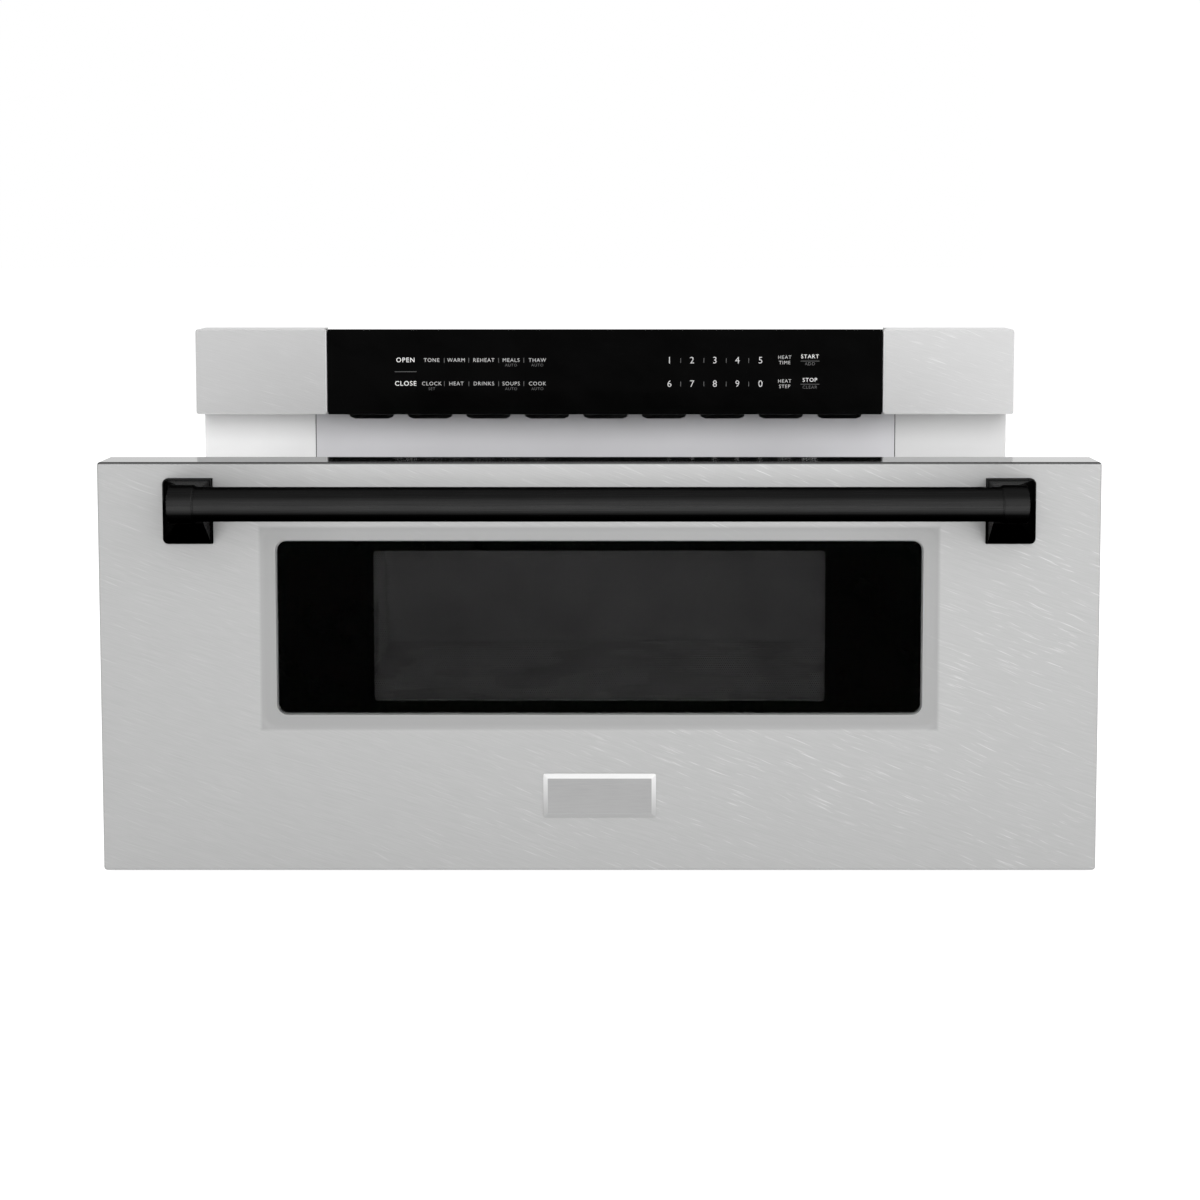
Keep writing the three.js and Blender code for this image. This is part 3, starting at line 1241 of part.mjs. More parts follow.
// The ring, cut short by the floor, and the four ribs pressed into the box's back wall
function backPressing() {
  const wall = [boxBack - BOX_SHEET - BACK_RELIEF, boxBack - BOX_SHEET / 2];
  const beyond = [wall[0] - 1, boxBack + 1];
  const { side, height, radius, bore } = BACK_RING;
  const ring = cut(
    alongY(circle(side, height, radius, 32), ...wall),
    alongY(circle(side, height, bore, 32), ...beyond),
    block([side - radius - 1, side + radius + 1], beyond, [boxFloor - radius, boxFloor + BOX_SHEET / 2]),
  );
  const ribs = [BACK_RIB.left, BACK_RIB.right].flatMap((across) =>
    BACK_RIB.heights.map((z) => block(across, wall, [z - BACK_RIB.tall / 2, z + BACK_RIB.tall / 2])),
  );
  return join(ring, ribs);
}

function drawerBox() {
  const s = BOX_SHEET;
  const shell = alongZ(rectangle(-boxHalf, boxHalf, boxFront, boxBack, 0), boxFloor, boxTop);
  const room = alongZ(
    rectangle(-boxHalf + s, boxHalf - s, boxFront + s, boxBack - s, 6, 3),
    boxFloor + s,
    boxTop + 1,
  );
  const rimOut = BOX_RIM;
  const rim = alongZ(
    rectangle(-boxHalf - rimOut, boxHalf + rimOut, boxFront, boxBack + rimOut, 2),
    boxTop - BOX_RIM_HEIGHT,
    boxTop,
    [rectangle(-boxHalf + s / 2, boxHalf - s / 2, boxFront + s / 2, boxBack - s / 2, 2)],
  );
  const window = alongY(
    rectangle(-sightHalf, sightHalf, Math.max(sightLow, boxFloor + 8), boxTop - 14, 6),
    boxFront - 1,
    boxFront + s + 1,
  );
  return join(cut(join(shell, rim), room, window), backPressing());
}
piece("drawer_box", drawerBox(), cavityPaint, drawer);

const trayHalf = boxHalf - BOX_SHEET - TRAY_PLAY;
piece(
  "ceramic_floor",
  alongZ(
    rectangle(-trayHalf, trayHalf, boxFront + BOX_SHEET + TRAY_PLAY, boxBack - BOX_SHEET - TRAY_PLAY, 14, 4),
    boxFloor + BOX_SHEET + SEAT,
    boxFloor + BOX_SHEET + SEAT + TRAY_THICK,
  ),
  whiteCeramic,
  drawer,
);

export default whole;
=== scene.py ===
# %% [markdown]
# # A microwave drawer
# A microwave drawer is built into a cabinet. Its door, handle and food pan are one drawer, which runs out
# to the front. Here it stands open, seen from the front, so that brushed steel, black glass and the oven
# behind the door all show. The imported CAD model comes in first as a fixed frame. Every piece made here
# sits on a piece of that frame and moves with one of its bodies.

import json
import math

import bmesh
import bpy
from mathutils import Matrix, Vector


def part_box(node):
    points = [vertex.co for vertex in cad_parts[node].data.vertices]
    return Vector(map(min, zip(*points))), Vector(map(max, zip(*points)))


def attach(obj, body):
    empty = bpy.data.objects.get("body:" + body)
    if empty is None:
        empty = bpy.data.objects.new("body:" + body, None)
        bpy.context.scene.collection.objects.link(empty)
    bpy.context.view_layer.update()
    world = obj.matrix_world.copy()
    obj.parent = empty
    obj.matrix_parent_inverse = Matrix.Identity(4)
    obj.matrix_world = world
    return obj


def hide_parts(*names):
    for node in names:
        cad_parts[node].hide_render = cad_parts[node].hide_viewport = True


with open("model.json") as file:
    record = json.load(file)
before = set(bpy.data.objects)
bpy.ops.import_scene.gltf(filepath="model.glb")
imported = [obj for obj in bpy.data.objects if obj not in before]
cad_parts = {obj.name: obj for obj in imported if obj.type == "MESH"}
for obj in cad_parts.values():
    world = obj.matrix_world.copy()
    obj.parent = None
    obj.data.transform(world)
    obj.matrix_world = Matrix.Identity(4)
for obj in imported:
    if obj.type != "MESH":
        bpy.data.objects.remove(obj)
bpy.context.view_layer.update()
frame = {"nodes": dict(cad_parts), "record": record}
nodes = frame["nodes"]
MM = 0.001

# %% [markdown]
# ## The camera
# The upright edges of the door run parallel, so the camera looks nearly level and its sensor is shifted
# down. The lens and place were worked out from the known sizes of the door and of the control panel
# behind it: two planes at different depths leave only one distance that makes both the right size.

# %% The camera
LENS, SENSOR = 65.5, 36
SHIFT = (-0.0246, -0.17)
EYE_PLACE = (0.0228, -2.3589, 0.4907)
EYE_DIP = 4.348

eye = bpy.data.cameras.new("camera")
eye.lens, eye.sensor_width = LENS, SENSOR
eye.shift_x, eye.shift_y = SHIFT
eye.clip_end = 60
camera = bpy.data.objects.new("camera", eye)
camera.location = EYE_PLACE
camera.rotation_euler = (math.radians(90 - EYE_DIP), 0, 0)
bpy.context.scene.collection.objects.link(camera)
bpy.context.scene.camera = camera
print("camera", [round(v, 3) for v in camera.location], "lens", eye.lens)

# %% [markdown]
# ## Main sizes
# These are the door's and the panel's own sizes in millimetres, as the frame has them. Each depth is a
# place on Y.

# %% Main sizes
DOOR = {"x": (-379.5, 379.5), "z": (2, 316), "front": -720, "back": -681.5, "sheet": 1.5, "corner": 2.5}
POCKET = {"x": (-258, 258), "z": (110.5, 267.3), "band": -719.3, "floor": -716.4, "corner": 12, "slope": 3.2}
SEAT = {"x": (-245.3, 245.3), "z": (122.7, 256.5), "corner": 7.8}
SIGHT = {"x": (-182, 182), "z": (126.6, 252.6), "corner": 4}
GLASS = {"x": (-244.5, 244.5), "z": (123.5, 255.7), "front": -719.7, "back": -716.75, "corner": 7}
CLEAR = {"x": (-171.5, 171.5), "z": (132.6, 248.2), "corner": 3}
SCREEN = {"front": -713.7, "back": -713.2, "lip_end": -709.7, "lip": 0.8, "corner": 4}
PANE = {"front": -686, "back": -683, "corner": 3.5}
PLAQUE = {"x": (-43, 43), "z": (43.4, 77.4), "back": -720.3, "edge": -720.9, "front": -722.7, "bevel": 3.4}
BAR = {"y": -778, "z": 291.3, "radius": 12.7, "half": 306}
FOOT = {"x": (291.95, 329.25), "y": (-725.3, -720.3), "z": (254.4, 304), "corner": 4.0}
ARM = {"x": 303.3, "wide": 18.4, "tall": 27.6, "drop": 0.2}
COLLAR = {"x": (294.1, 312.5), "radius": 14.2}
JOINT = {"x": (293.3, 294.3), "radius": 13.3}
PANEL = {"z": (320, 399), "front": -339, "glass": 4, "glass_x": (-257, 257)}
END = {"x": (257.8, 379.5), "back": -298, "sheet": 1.4, "corner": 2.6, "inner": 1.2, "edge": 1.3, "lip": 262}
SIDES = (("left", -1), ("right", 1))


def grown(pair, by):
    """Two ends moved apart by a distance at each, or together where it is negative."""
    return (pair[0] - by, pair[1] + by)


def metres(values):
    return tuple(value * MM for value in values)


def box_mm(name):
    """A CAD node's lowest and highest corners in millimetres."""
    return [[value / MM for value in corner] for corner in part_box(name)]


print("the window is", GLASS["x"][1] - GLASS["x"][0], "by", GLASS["z"][1] - GLASS["z"][0], "mm")

# %% [markdown]
# ## Mesh helpers
# Most pieces of this appliance are folded or pressed from sheet, or are flat plates with round corners.
# So the main helper stacks rounded outlines, each at its own depth, and bridges each to the next. A fold
# is then a line of edges between two outlines, which a bevel rounds as a press brake would.

# %% A block, a rod and a rounded outline
def block(shape, x, y, z):
    """A plain block between two x, two y and two z, in millimetres."""
    made = bmesh.ops.create_cube(shape, size=1)["verts"]
    sides = [Vector(v) * MM for v in zip(x, y, z)]
    bmesh.ops.scale(shape, vec=sides[1] - sides[0], verts=made)
    bmesh.ops.translate(shape, vec=(sides[0] + sides[1]) / 2, verts=made)
    return made


def rod(shape, axis, start, end, radius, centre, sides):
    """A rod along X, Y or Z with a number of sides. centre holds its two other coordinates."""
    made = bmesh.ops.create_cone(
        shape, cap_ends=True, segments=sides,
        radius1=radius * MM, radius2=radius * MM, depth=(end - start) * MM,
    )["verts"]
    turn = {"X": Matrix.Rotation(math.radians(90), 3, "Y"), "Y": Matrix.Rotation(math.radians(-90), 3, "X")}
    if axis in turn:
        bmesh.ops.rotate(shape, cent=(0, 0, 0), matrix=turn[axis], verts=made)
    place = list(centre)
    place.insert("XYZ".index(axis), (start + end) / 2)
    bmesh.ops.translate(shape, vec=Vector(place) * MM, verts=made)
    return made


def outline(shape, x, z, y, corner, steps=5):
    """One flat face across X and Z, seen from the front, with round corners."""
    before = set(shape.faces)
    made = bmesh.ops.create_grid(shape, x_segments=1, y_segments=1, size=0.5)["verts"]
    bmesh.ops.rotate(shape, cent=(0, 0, 0), matrix=Matrix.Rotation(math.radians(90), 3, "X"), verts=made)
    bmesh.ops.scale(shape, vec=((x[1] - x[0]) * MM, 1, (z[1] - z[0]) * MM), verts=made)
    middle = Vector(((x[0] + x[1]) / 2, y, (z[0] + z[1]) / 2)) * MM
    bmesh.ops.translate(shape, vec=middle, verts=made)
    if corner:
        bmesh.ops.bevel(
            shape, geom=made, offset=corner * MM, segments=steps, profile=0.5, affect="VERTICES", material=-1
        )
    return (set(shape.faces) - before).pop()


print("block, rod and outline are ready")

# %% [markdown]
# Stacking outlines is how the door skin, the glasses and the plates are all made. Blender's own bridge
# pairs the nearest points of two loops, and twists where a wide outline meets a narrow one. Here all
# outlines are made by the same steps, so edge number five of one belongs to edge number five of the next,
# and each such pair is filled with one face. The first and last outline either close the shape as lids,
# or join each other, as on a sheet whose edge turns back on itself.

# %% Stacked outlines and soft edges
def stacked(shape, sections, steps=5, lids=True):
    """Joins rounded outlines, each (x, z, y, corner), and returns the ring of edges of each."""
    faces = [outline(shape, *section, steps) for section in sections]
    rings = [[loop.edge for loop in face.loops] for face in faces]
    spare = faces[1:-1] if lids else faces
    bmesh.ops.delete(shape, geom=spare, context="FACES_ONLY")
    pairs = list(zip(rings, rings[1:]))
    if not lids:
        pairs.append((rings[-1], rings[0]))
    for near, far in pairs:
        for one, other in zip(near, far):
            bmesh.ops.contextual_create(shape, geom=[one, other])
    return rings


def soften(shape, edges, width, steps=3):
    """Rounds edges by a width in millimetres."""
    live = [e for e in edges if e.is_valid]
    bmesh.ops.bevel(
        shape, geom=live, offset=width * MM, segments=steps, profile=0.5, affect="EDGES", material=-1,
        clamp_overlap=True,
    )


def rims_of(shape, made, axis):
    """The edges round both ends of a rod."""
    own, along = set(made), "XYZ".index(axis)
    level = lambda edge: abs(edge.verts[0].co[along] - edge.verts[1].co[along]) < 1e-6
    return [e for e in shape.edges if own.issuperset(e.verts) and level(e)]


def finished(shape, name, body, material, replaces=(), sharp=32):
    """Turns a bmesh into a piece that rides on a body and may stand for CAD nodes."""
    bmesh.ops.remove_doubles(shape, verts=shape.verts, dist=1e-6)
    bmesh.ops.recalc_face_normals(shape, faces=shape.faces)
    mesh = bpy.data.meshes.new(name)
    shape.to_mesh(mesh)
    shape.free()
    mesh.materials.append(material)
    mesh.shade_smooth()
    mesh.set_sharp_from_angle(angle=math.radians(sharp))
    piece = bpy.data.objects.new(name, mesh)
    bpy.context.scene.collection.objects.link(piece)
    even = piece.modifiers.new("even_normals", "WEIGHTED_NORMAL")
    even.keep_sharp = True
    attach(piece, body)
    if replaces:
        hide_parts(*replaces)
    print(f"{name}: {len(mesh.polygons)} faces")
    return piece


# %% [markdown]
# ## Material helpers
# A finish is a small node tree on the object's own coordinates, so every pattern has a real size in
# metres. A Mapping node of type Texture divides by its scale: a scale of 0.05 along one axis and 0.0006
# along another gives scratches 50 mm long and 0.6 mm wide.

# %% Nodes in one line each
def node(tree, kind, inputs=None, **settings):
    """Adds a node. inputs holds a number, colour or other node's output for each socket."""
    made = tree.nodes.new("ShaderNode" + kind)
    for setting, value in settings.items():
        setattr(made, setting, value)
    for socket, value in (inputs or {}).items():
        if isinstance(value, bpy.types.NodeSocket):
            tree.links.new(value, made.inputs[socket])
        else:
            made.inputs[socket].default_value = value
    return made


def grey(level, tint=(1, 1, 1)):
    """A colour from a brightness of the sRGB scale, 0 to 255, as a photograph shows it."""
    share = level / 255
    linear = share / 12.92 if share <= 0.04045 else ((share + 0.055) / 1.055) ** 2.4
    return (*[linear * t for t in tint], 1)


def sized(tree, size, turn=(0, 0, 0), wander=None):
    """Object coordinates in units of a pattern's own size in metres, turned by degrees."""
    where = node(tree, "TexCoord").outputs["Object"]
    if wander:
        reach, amount = wander
        drift = node(tree, "TexNoise", {"Vector": where, "Scale": 1 / reach, "Detail": 1.0})
        moved = node(tree, "VectorMath", {0: drift.outputs["Color"], 1: (-0.5, -0.5, -0.5)}, operation="ADD")
        part = node(tree, "VectorMath", {0: moved.outputs[0], "Scale": amount}, operation="SCALE")
        where = node(tree, "VectorMath", {0: where, 1: part.outputs[0]}, operation="ADD").outputs[0]
    turned = tuple(math.radians(a) for a in turn)
    return node(
        tree, "Mapping", {"Vector": where, "Rotation": turned, "Scale": size}, vector_type="TEXTURE"
    ).outputs[0]


def noise(tree, vector, detail=2.0, rough=0.5, scale=1.0):
    inputs = {"Vector": vector, "Scale": scale, "Detail": detail, "Roughness": rough}
    return node(tree, "TexNoise", inputs).outputs["Fac"]


def maths(tree, operation, a, b=0.0, clamp=False):
    return node(tree, "Math", {0: a, 1: b}, operation=operation, use_clamp=clamp).outputs[0]


def levels(tree, value, low, high, to_low=0.0, to_high=1.0):
    """Stretches a value from one range to another, and holds it there."""
    inputs = {"Value": value, "From Min": low, "From Max": high, "To Min": to_low, "To Max": to_high}
    return node(tree, "MapRange", inputs).outputs[0]


def blend(tree, factor, first, second):
    """A colour between two colours."""
    mixer = node(tree, "Mix", {0: factor, 6: first, 7: second}, data_type="RGBA")
    return mixer.outputs[2]


def coordinate(tree, axis):
    """One object coordinate, in metres."""
    where = node(tree, "TexCoord").outputs["Object"]
    return node(tree, "SeparateXYZ", {0: where}).outputs[axis]


# %% A finish with its shader, colour, gloss and relief
def finish(name, metal=0.0, **settings):
    """A new material. Returns it, its node tree and its shader node."""
    material = bpy.data.materials.new(name)
    material.use_nodes = True
    tree = material.node_tree
    shader = tree.nodes["Principled BSDF"]
    shader.inputs["Metallic"].default_value = metal
    for socket, value in settings.items():
        shader.inputs[socket.replace("_", " ").title()].default_value = value
    return material, tree, shader


def wire(tree, shader, colour=None, gloss=None, relief=None, strength=0.2, depth=0.0001):
    """Links a colour, a roughness and a height to a finish's shader."""
    if colour is not None:
        tree.links.new(colour, shader.inputs["Base Color"])
    if gloss is not None:
        tree.links.new(gloss, shader.inputs["Roughness"])
    if relief is not None:
        raised = node(tree, "Bump", {"Height": relief, "Strength": strength, "Distance": depth})
        tree.links.new(raised.outputs[0], shader.inputs["Normal"])


print("material helpers are ready")

# %% [markdown]
# ## Brushed steel
# Stainless sheet is brushed before it is folded. Here the brush went down to the right at a shallow
# angle, and its marks are fine, broken and slightly curved. Two layers of stretched noise, turned about
# Y, make the marks: one for the even grain and one for single brighter scratches, which a broad third
# noise lets through in patches only. The folded top of the door keeps the mill's smooth skin, so it
# mirrors the panel above it. Over the window's pocket, shade is painted: the steel's colour is darker
# there, with a soft outline. The marks lie so close that they scatter half of the light as a matt surface
# does. So the brushed sheet is only half metallic, and the smooth top wholly. Behind the handle, light is
# painted: the colour is brighter there, which makes up for the handle's shadow and reflection. A thin
# highlight is painted along the edges of the panel's two steel ends.

# %% Brushed steel
MATT = 0.5


def inside(tree, x, z, soft):
    """One inside a box given by two x and two z in metres, and nought outside, with a soft outline."""
    shares = []
    for axis, (low, high) in (("X", x), ("Z", z)):
        place = coordinate(tree, axis)
        rise = levels(tree, place, low - soft, low + soft)
        fall = levels(tree, place, high - soft, high + soft, 1, 0)
        shares.append(maths(tree, "MINIMUM", rise, fall))
    return maths(tree, "MINIMUM", *shares)


def brushed(name, tone, slant, marks, smooth_top=None, pocket=None, painted_light_near_handle=None, rim=None, tint=(1, 1, 1)):
    """Steel with brush marks at a slant in degrees.

    smooth_top is a height over which the sheet isn't brushed, and pocket an area painted darker as shade.
    Two heights and two distances from the middle give where light is painted near the handle: the sheet is
    made brighter between them. rim is the area inside the edges, outside which a highlight is painted.
    """
    material, tree, shader = finish(name, metal=MATT)
    grain = noise(tree, sized(tree, (0.045, 0.02, 0.0009), (0, slant, 0), (0.12, 0.004)), 4.0, 0.62)
    fine = noise(tree, sized(tree, (0.016, 0.02, 0.0005), (0, slant + 2, 0), (0.08, 0.003)), 2.0, 0.5)
    single = noise(tree, sized(tree, (0.03, 0.02, 0.0014), (0, slant + 6, 0), (0.05, 0.006)), 3.0, 0.55)
    patch = noise(tree, sized(tree, (0.16, 0.2, 0.09)), 2.0, 0.5)
    side = levels(tree, coordinate(tree, "X"), -0.2, 0.3, 0.35, 1.0)
    shown = maths(tree, "MULTIPLY", levels(tree, patch, 0.35, 0.65, 0.3, 1.0), side)
    scratch = maths(tree, "MULTIPLY", levels(tree, single, 0.59, 0.72), shown)
    rub = maths(tree, "ADD", maths(tree, "MULTIPLY", grain, 0.6), maths(tree, "MULTIPLY", fine, 0.4))
    swing = 6.5 * marks
    colour = blend(tree, levels(tree, rub, 0.3, 0.7), grey(tone - swing, tint), grey(tone + swing, tint))
    lit = maths(tree, "MULTIPLY", scratch, marks, clamp=True)
    colour = blend(tree, lit, colour, grey(min(tone + 36, 250), tint))
    sheen = maths(tree, "SUBTRACT", rub, maths(tree, "MULTIPLY", scratch, 0.2))
    gloss = levels(tree, sheen, 0.2, 0.8, 0.38, 0.5)
    height = maths(tree, "ADD", rub, maths(tree, "MULTIPLY", scratch, 0.5))
    # Painted shade: the colour inside the pocket is darkened, with a soft outline.
    if pocket is not None:
        painted_pocket_shade = maths(tree, "MULTIPLY", inside(tree, *pocket), 0.9)
        colour = blend(tree, painted_pocket_shade, colour, grey(tone * 0.885, tint))
    # Painted light: behind the handle the colour is made up to 1.27 times brighter, against its shadow and
    # reflection.
    if painted_light_near_handle is not None:
        heights, reach = painted_light_near_handle
        off_middle = maths(tree, "ABSOLUTE", coordinate(tree, "X"))
        high_up = levels(tree, coordinate(tree, "Z"), *heights)
        handle_light_share = maths(tree, "MULTIPLY", high_up, levels(tree, off_middle, *reach, 1, 0))
        gain = levels(tree, handle_light_share, 0, 1, 1.0, 1.27)
        colour = node(tree, "VectorMath", {0: colour, "Scale": gain}, operation="SCALE").outputs[0]
    # Painted highlight: outside the given box, along the edges, the colour turns bright.
    if rim is not None:
        colour = blend(tree, inside(tree, *rim, 0.0002), grey(min(tone + 34, 250), tint), colour)
    if smooth_top is not None:
        top = levels(tree, coordinate(tree, "Z"), smooth_top - 0.0012, smooth_top - 0.0004)
        colour = blend(tree, top, colour, grey(tone * 0.66, tint))
        gloss = maths(tree, "MULTIPLY", gloss, levels(tree, top, 0, 1, 1.0, 0.18))
        tree.links.new(levels(tree, top, 0, 1, MATT, 1.0), shader.inputs["Metallic"])
        height = maths(tree, "MULTIPLY", height, levels(tree, top, 0, 1, 1.0, 0.0))
    wire(tree, shader, colour, gloss, height, 0.16 * marks, 0.00004)
    return material


BRUSH_SLANT, END_SLANT = 17, 14
# Inside this box the panel ends keep their colour; outside it, along their edges, a highlight is painted.
END_HIGHLIGHT_INSIDE = {"x": (258.9, 378.8), "z": (321.1, 398.3)}
door_steel = brushed(
    "brushed_door_steel", 174, BRUSH_SLANT, 1.0,
    smooth_top=(DOOR["z"][1] - 0.7) * MM,
    pocket=(metres(grown(POCKET["x"], -0.5)), metres(grown(POCKET["z"], -0.5)), 0.0012),
    painted_light_near_handle=((0.225, 0.262), (0.19, 0.33)), tint=(1, 1.003, 1),
)
end_steel = {}
# Both ends are the same steel: the right one's brighter tone is painted light, the left one's duller tone
# painted shade.
for (name, side), tone in zip(SIDES, (194, 202)):
    span = sorted(side * x for x in END_HIGHLIGHT_INSIDE["x"])
    end_steel[name] = brushed(
        "brushed_end_steel_" + name, tone, END_SLANT, 0.8, rim=(metres(span), metres(END_HIGHLIGHT_INSIDE["z"]))
    )
print("steels:", [m.name for m in (door_steel, *end_steel.values())])

# %% [markdown]
# ## Dark handle metal
# The handle is a darker metal than the door: near black where it faces away, and a soft grey band where
# it meets the light. It is ground lengthwise, so its grain runs along X. Its oxide coat swallows light
# that grazes it, which on a metal is the shader's specular tint: black there leaves the rims of the bar
# dark. Below a soft line under the bar's middle the colour is painted near black as shade, on the bar and
# on the low parts of the brackets.

# %% Dark handle metal
def ground(name, tone, rough, painted_shade_heights):
    """A dark ground metal, painted near black as shade under the first of two heights and bare over the
    second.
    """
    material, tree, shader = finish(name, metal=1.0)
    grain = noise(tree, sized(tree, (0.06, 0.0012, 0.0008)), 3.0, 0.6)
    cloud = noise(tree, sized(tree, (0.05, 0.03, 0.03)), 2.0, 0.5)
    mixed = maths(tree, "ADD", maths(tree, "MULTIPLY", grain, 0.7), maths(tree, "MULTIPLY", cloud, 0.3))
    colour = blend(tree, levels(tree, mixed, 0.3, 0.7), grey(tone - 5), grey(tone + 5))
    # Painted shade: under the given heights the colour turns near black.
    colour = blend(tree, levels(tree, coordinate(tree, "Z"), *painted_shade_heights), grey(6), colour)
    gloss = levels(tree, mixed, 0.25, 0.75, rough - 0.04, rough + 0.05)
    shader.inputs["Specular Tint"].default_value = (0, 0, 0, 1)
    wire(tree, shader, colour, gloss, grain, 0.1, 0.00003)
    return material


handle_dark = ground("dark_handle_metal", 56, 0.26, (0.2848, 0.2888))
print("handle metal:", handle_dark.name)

# %% [markdown]
# ## Zinc-coated sheet
# The case is galvanised: zinc sets in flat crystals, each a slightly different grey, with a dull rolled
# sheen over them. Voronoi cells are those crystals.

# %% Zinc-coated sheet
def zinc(name, tone, cell=0.011, rough=0.42):
    material, tree, shader = finish(name, metal=0.9)
    spangle = node(
        tree, "TexVoronoi", {"Vector": sized(tree, (cell, cell, cell), wander=(0.02, 0.006)), "Scale": 1.0}
    )
    crystal = node(tree, "SeparateXYZ", {0: spangle.outputs["Color"]}).outputs[0]
    feather = noise(tree, sized(tree, (0.003, 0.003, 0.003)), 3.0, 0.6)
    stain = noise(tree, sized(tree, (0.12, 0.12, 0.12)), 3.0, 0.6)
    mixed = maths(tree, "ADD", maths(tree, "MULTIPLY", crystal, 0.5), maths(tree, "MULTIPLY", feather, 0.5))
    colour = blend(tree, mixed, grey(tone - 13, (0.98, 1, 1.02)), grey(tone + 11, (0.98, 1, 1.02)))
    dull = maths(tree, "MULTIPLY", levels(tree, stain, 0.45, 0.75), 0.35)
    colour = blend(tree, dull, colour, grey(tone - 26, (1, 1, 1)))
    gloss = levels(tree, maths(tree, "ADD", crystal, stain), 0.3, 1.6, rough - 0.08, rough + 0.12)
    wire(tree, shader, colour, gloss, feather, 0.08, 0.00005)
    return material


case_zinc = zinc("zinc_coated_sheet", 176)
slide_zinc = zinc("bright_zinc_slide", 188, 0.004, 0.3)
print("zinc:", case_zinc.name, slide_zinc.name)

# %% [markdown]
# ## Enamels
# The fixed face behind the door is a smooth pale enamel. The middle plate is a little darker and bluer,
# and the right plate is painted darker as shade.
# The oven's inside has a harder grey enamel with a fine speckle, which hides splashes, and both have the
# faint ripple of a sprayed coat.

# %% Enamels
def enamel(name, tone, tint, speck=0.0, rough=0.3):
    material, tree, shader = finish(name)
    shader.inputs["Specular IOR Level"].default_value = 0.5
    ripple = noise(tree, sized(tree, (0.0022, 0.0022, 0.0022)), 2.0, 0.5)
    cloud = noise(tree, sized(tree, (0.09, 0.09, 0.09)), 2.0, 0.5)
    colour = blend(tree, levels(tree, cloud, 0.3, 0.7), grey(tone - 3, tint), grey(tone + 3, tint))
    if speck:
        dots = noise(tree, sized(tree, (0.0011, 0.0011, 0.0011)), 1.0, 0.4)
        colour = blend(tree, maths(tree, "MULTIPLY", levels(tree, dots, 0.62, 0.68), speck), colour, grey(60))
        pale = noise(tree, sized(tree, (0.0014, 0.0014, 0.0014), (0, 40, 0)), 1.0, 0.4)
        colour = blend(tree, maths(tree, "MULTIPLY", levels(tree, pale, 0.64, 0.7), speck), colour, grey(225))
    gloss = levels(tree, cloud, 0.2, 0.8, rough - 0.04, rough + 0.06)
    wire(tree, shader, colour, gloss, ripple, 0.06, 0.0001)
    return material


face_enamel = enamel("pale_face_enamel", 238, (1, 1, 1.0))
# A darker copy of the pale enamel for the right plate: painted shade.
shaded_right_enamel = enamel("pale_enamel_painted_shade_right", 213, (1, 1, 1.0))
middle_enamel = enamel("pale_middle_enamel", 210, (0.985, 0.98, 1.01))
oven_enamel = enamel("grey_oven_enamel", 118, (1, 1, 0.99), speck=0.45, rough=0.28)
print("enamels:", [m.name for m in (face_enamel, shaded_right_enamel, middle_enamel, oven_enamel)])

# %% [markdown]
# ## Glass
# The touch panel and the door's window are black glass: the colour is a coat behind clear glass, so the
# front is even and glossy, with a faint smear here and there. The window's middle has no coat and is only
# tinted. Both are anti-reflection coated, so their refractive index is set far below that of bare glass.

# %% Black and tinted glass
def black_glass(name, tone, ior):
    material, tree, shader = finish(name)
    shader.inputs["IOR"].default_value = ior
    smear = noise(tree, sized(tree, (0.05, 0.05, 0.03), (0, 25, 0), (0.05, 0.02)), 3.0, 0.6)
    colour = blend(tree, levels(tree, smear, 0.3, 0.7), grey(max(tone - 1, 0)), grey(tone + 2))
    wire(tree, shader, colour, levels(tree, smear, 0.3, 0.8, 0.04, 0.13))
    return material


def tinted_glass(name, tone, rough=0.0):
    material, tree, shader = finish(name)
    shader.inputs["Transmission Weight"].default_value = 1.0
    shader.inputs["IOR"].default_value = 1.04
    smear = noise(tree, sized(tree, (0.06, 0.06, 0.04), (0, 20, 0)), 2.0, 0.5)
    colour = blend(tree, levels(tree, smear, 0.3, 0.7), grey(tone - 4), grey(tone + 4))
    wire(tree, shader, colour, levels(tree, smear, 0.3, 0.8, rough, rough + 0.02))
    return material


touch_black = black_glass("black_touch_glass", 5, 1.08)
border_black = black_glass("black_window_border", 0, 1.04)
window_clear = tinted_glass("tinted_window_glass", 182)
pane_clear = tinted_glass("clear_inner_pane", 225)
print("glass:", [m.name for m in (touch_black, border_black, window_clear, pane_clear)])

# %% [markdown]
# ## Perforated screen
# Behind the glass a steel screen keeps the microwaves in. Its holes are far smaller than their
# wavelength: about 1 mm across in rows 1.6 mm apart. So many real holes would be a heavy mesh, so the
# finish cuts them out: it measures the distance to the nearest hole centre of two interleaved grids, and
# is clear inside that radius.

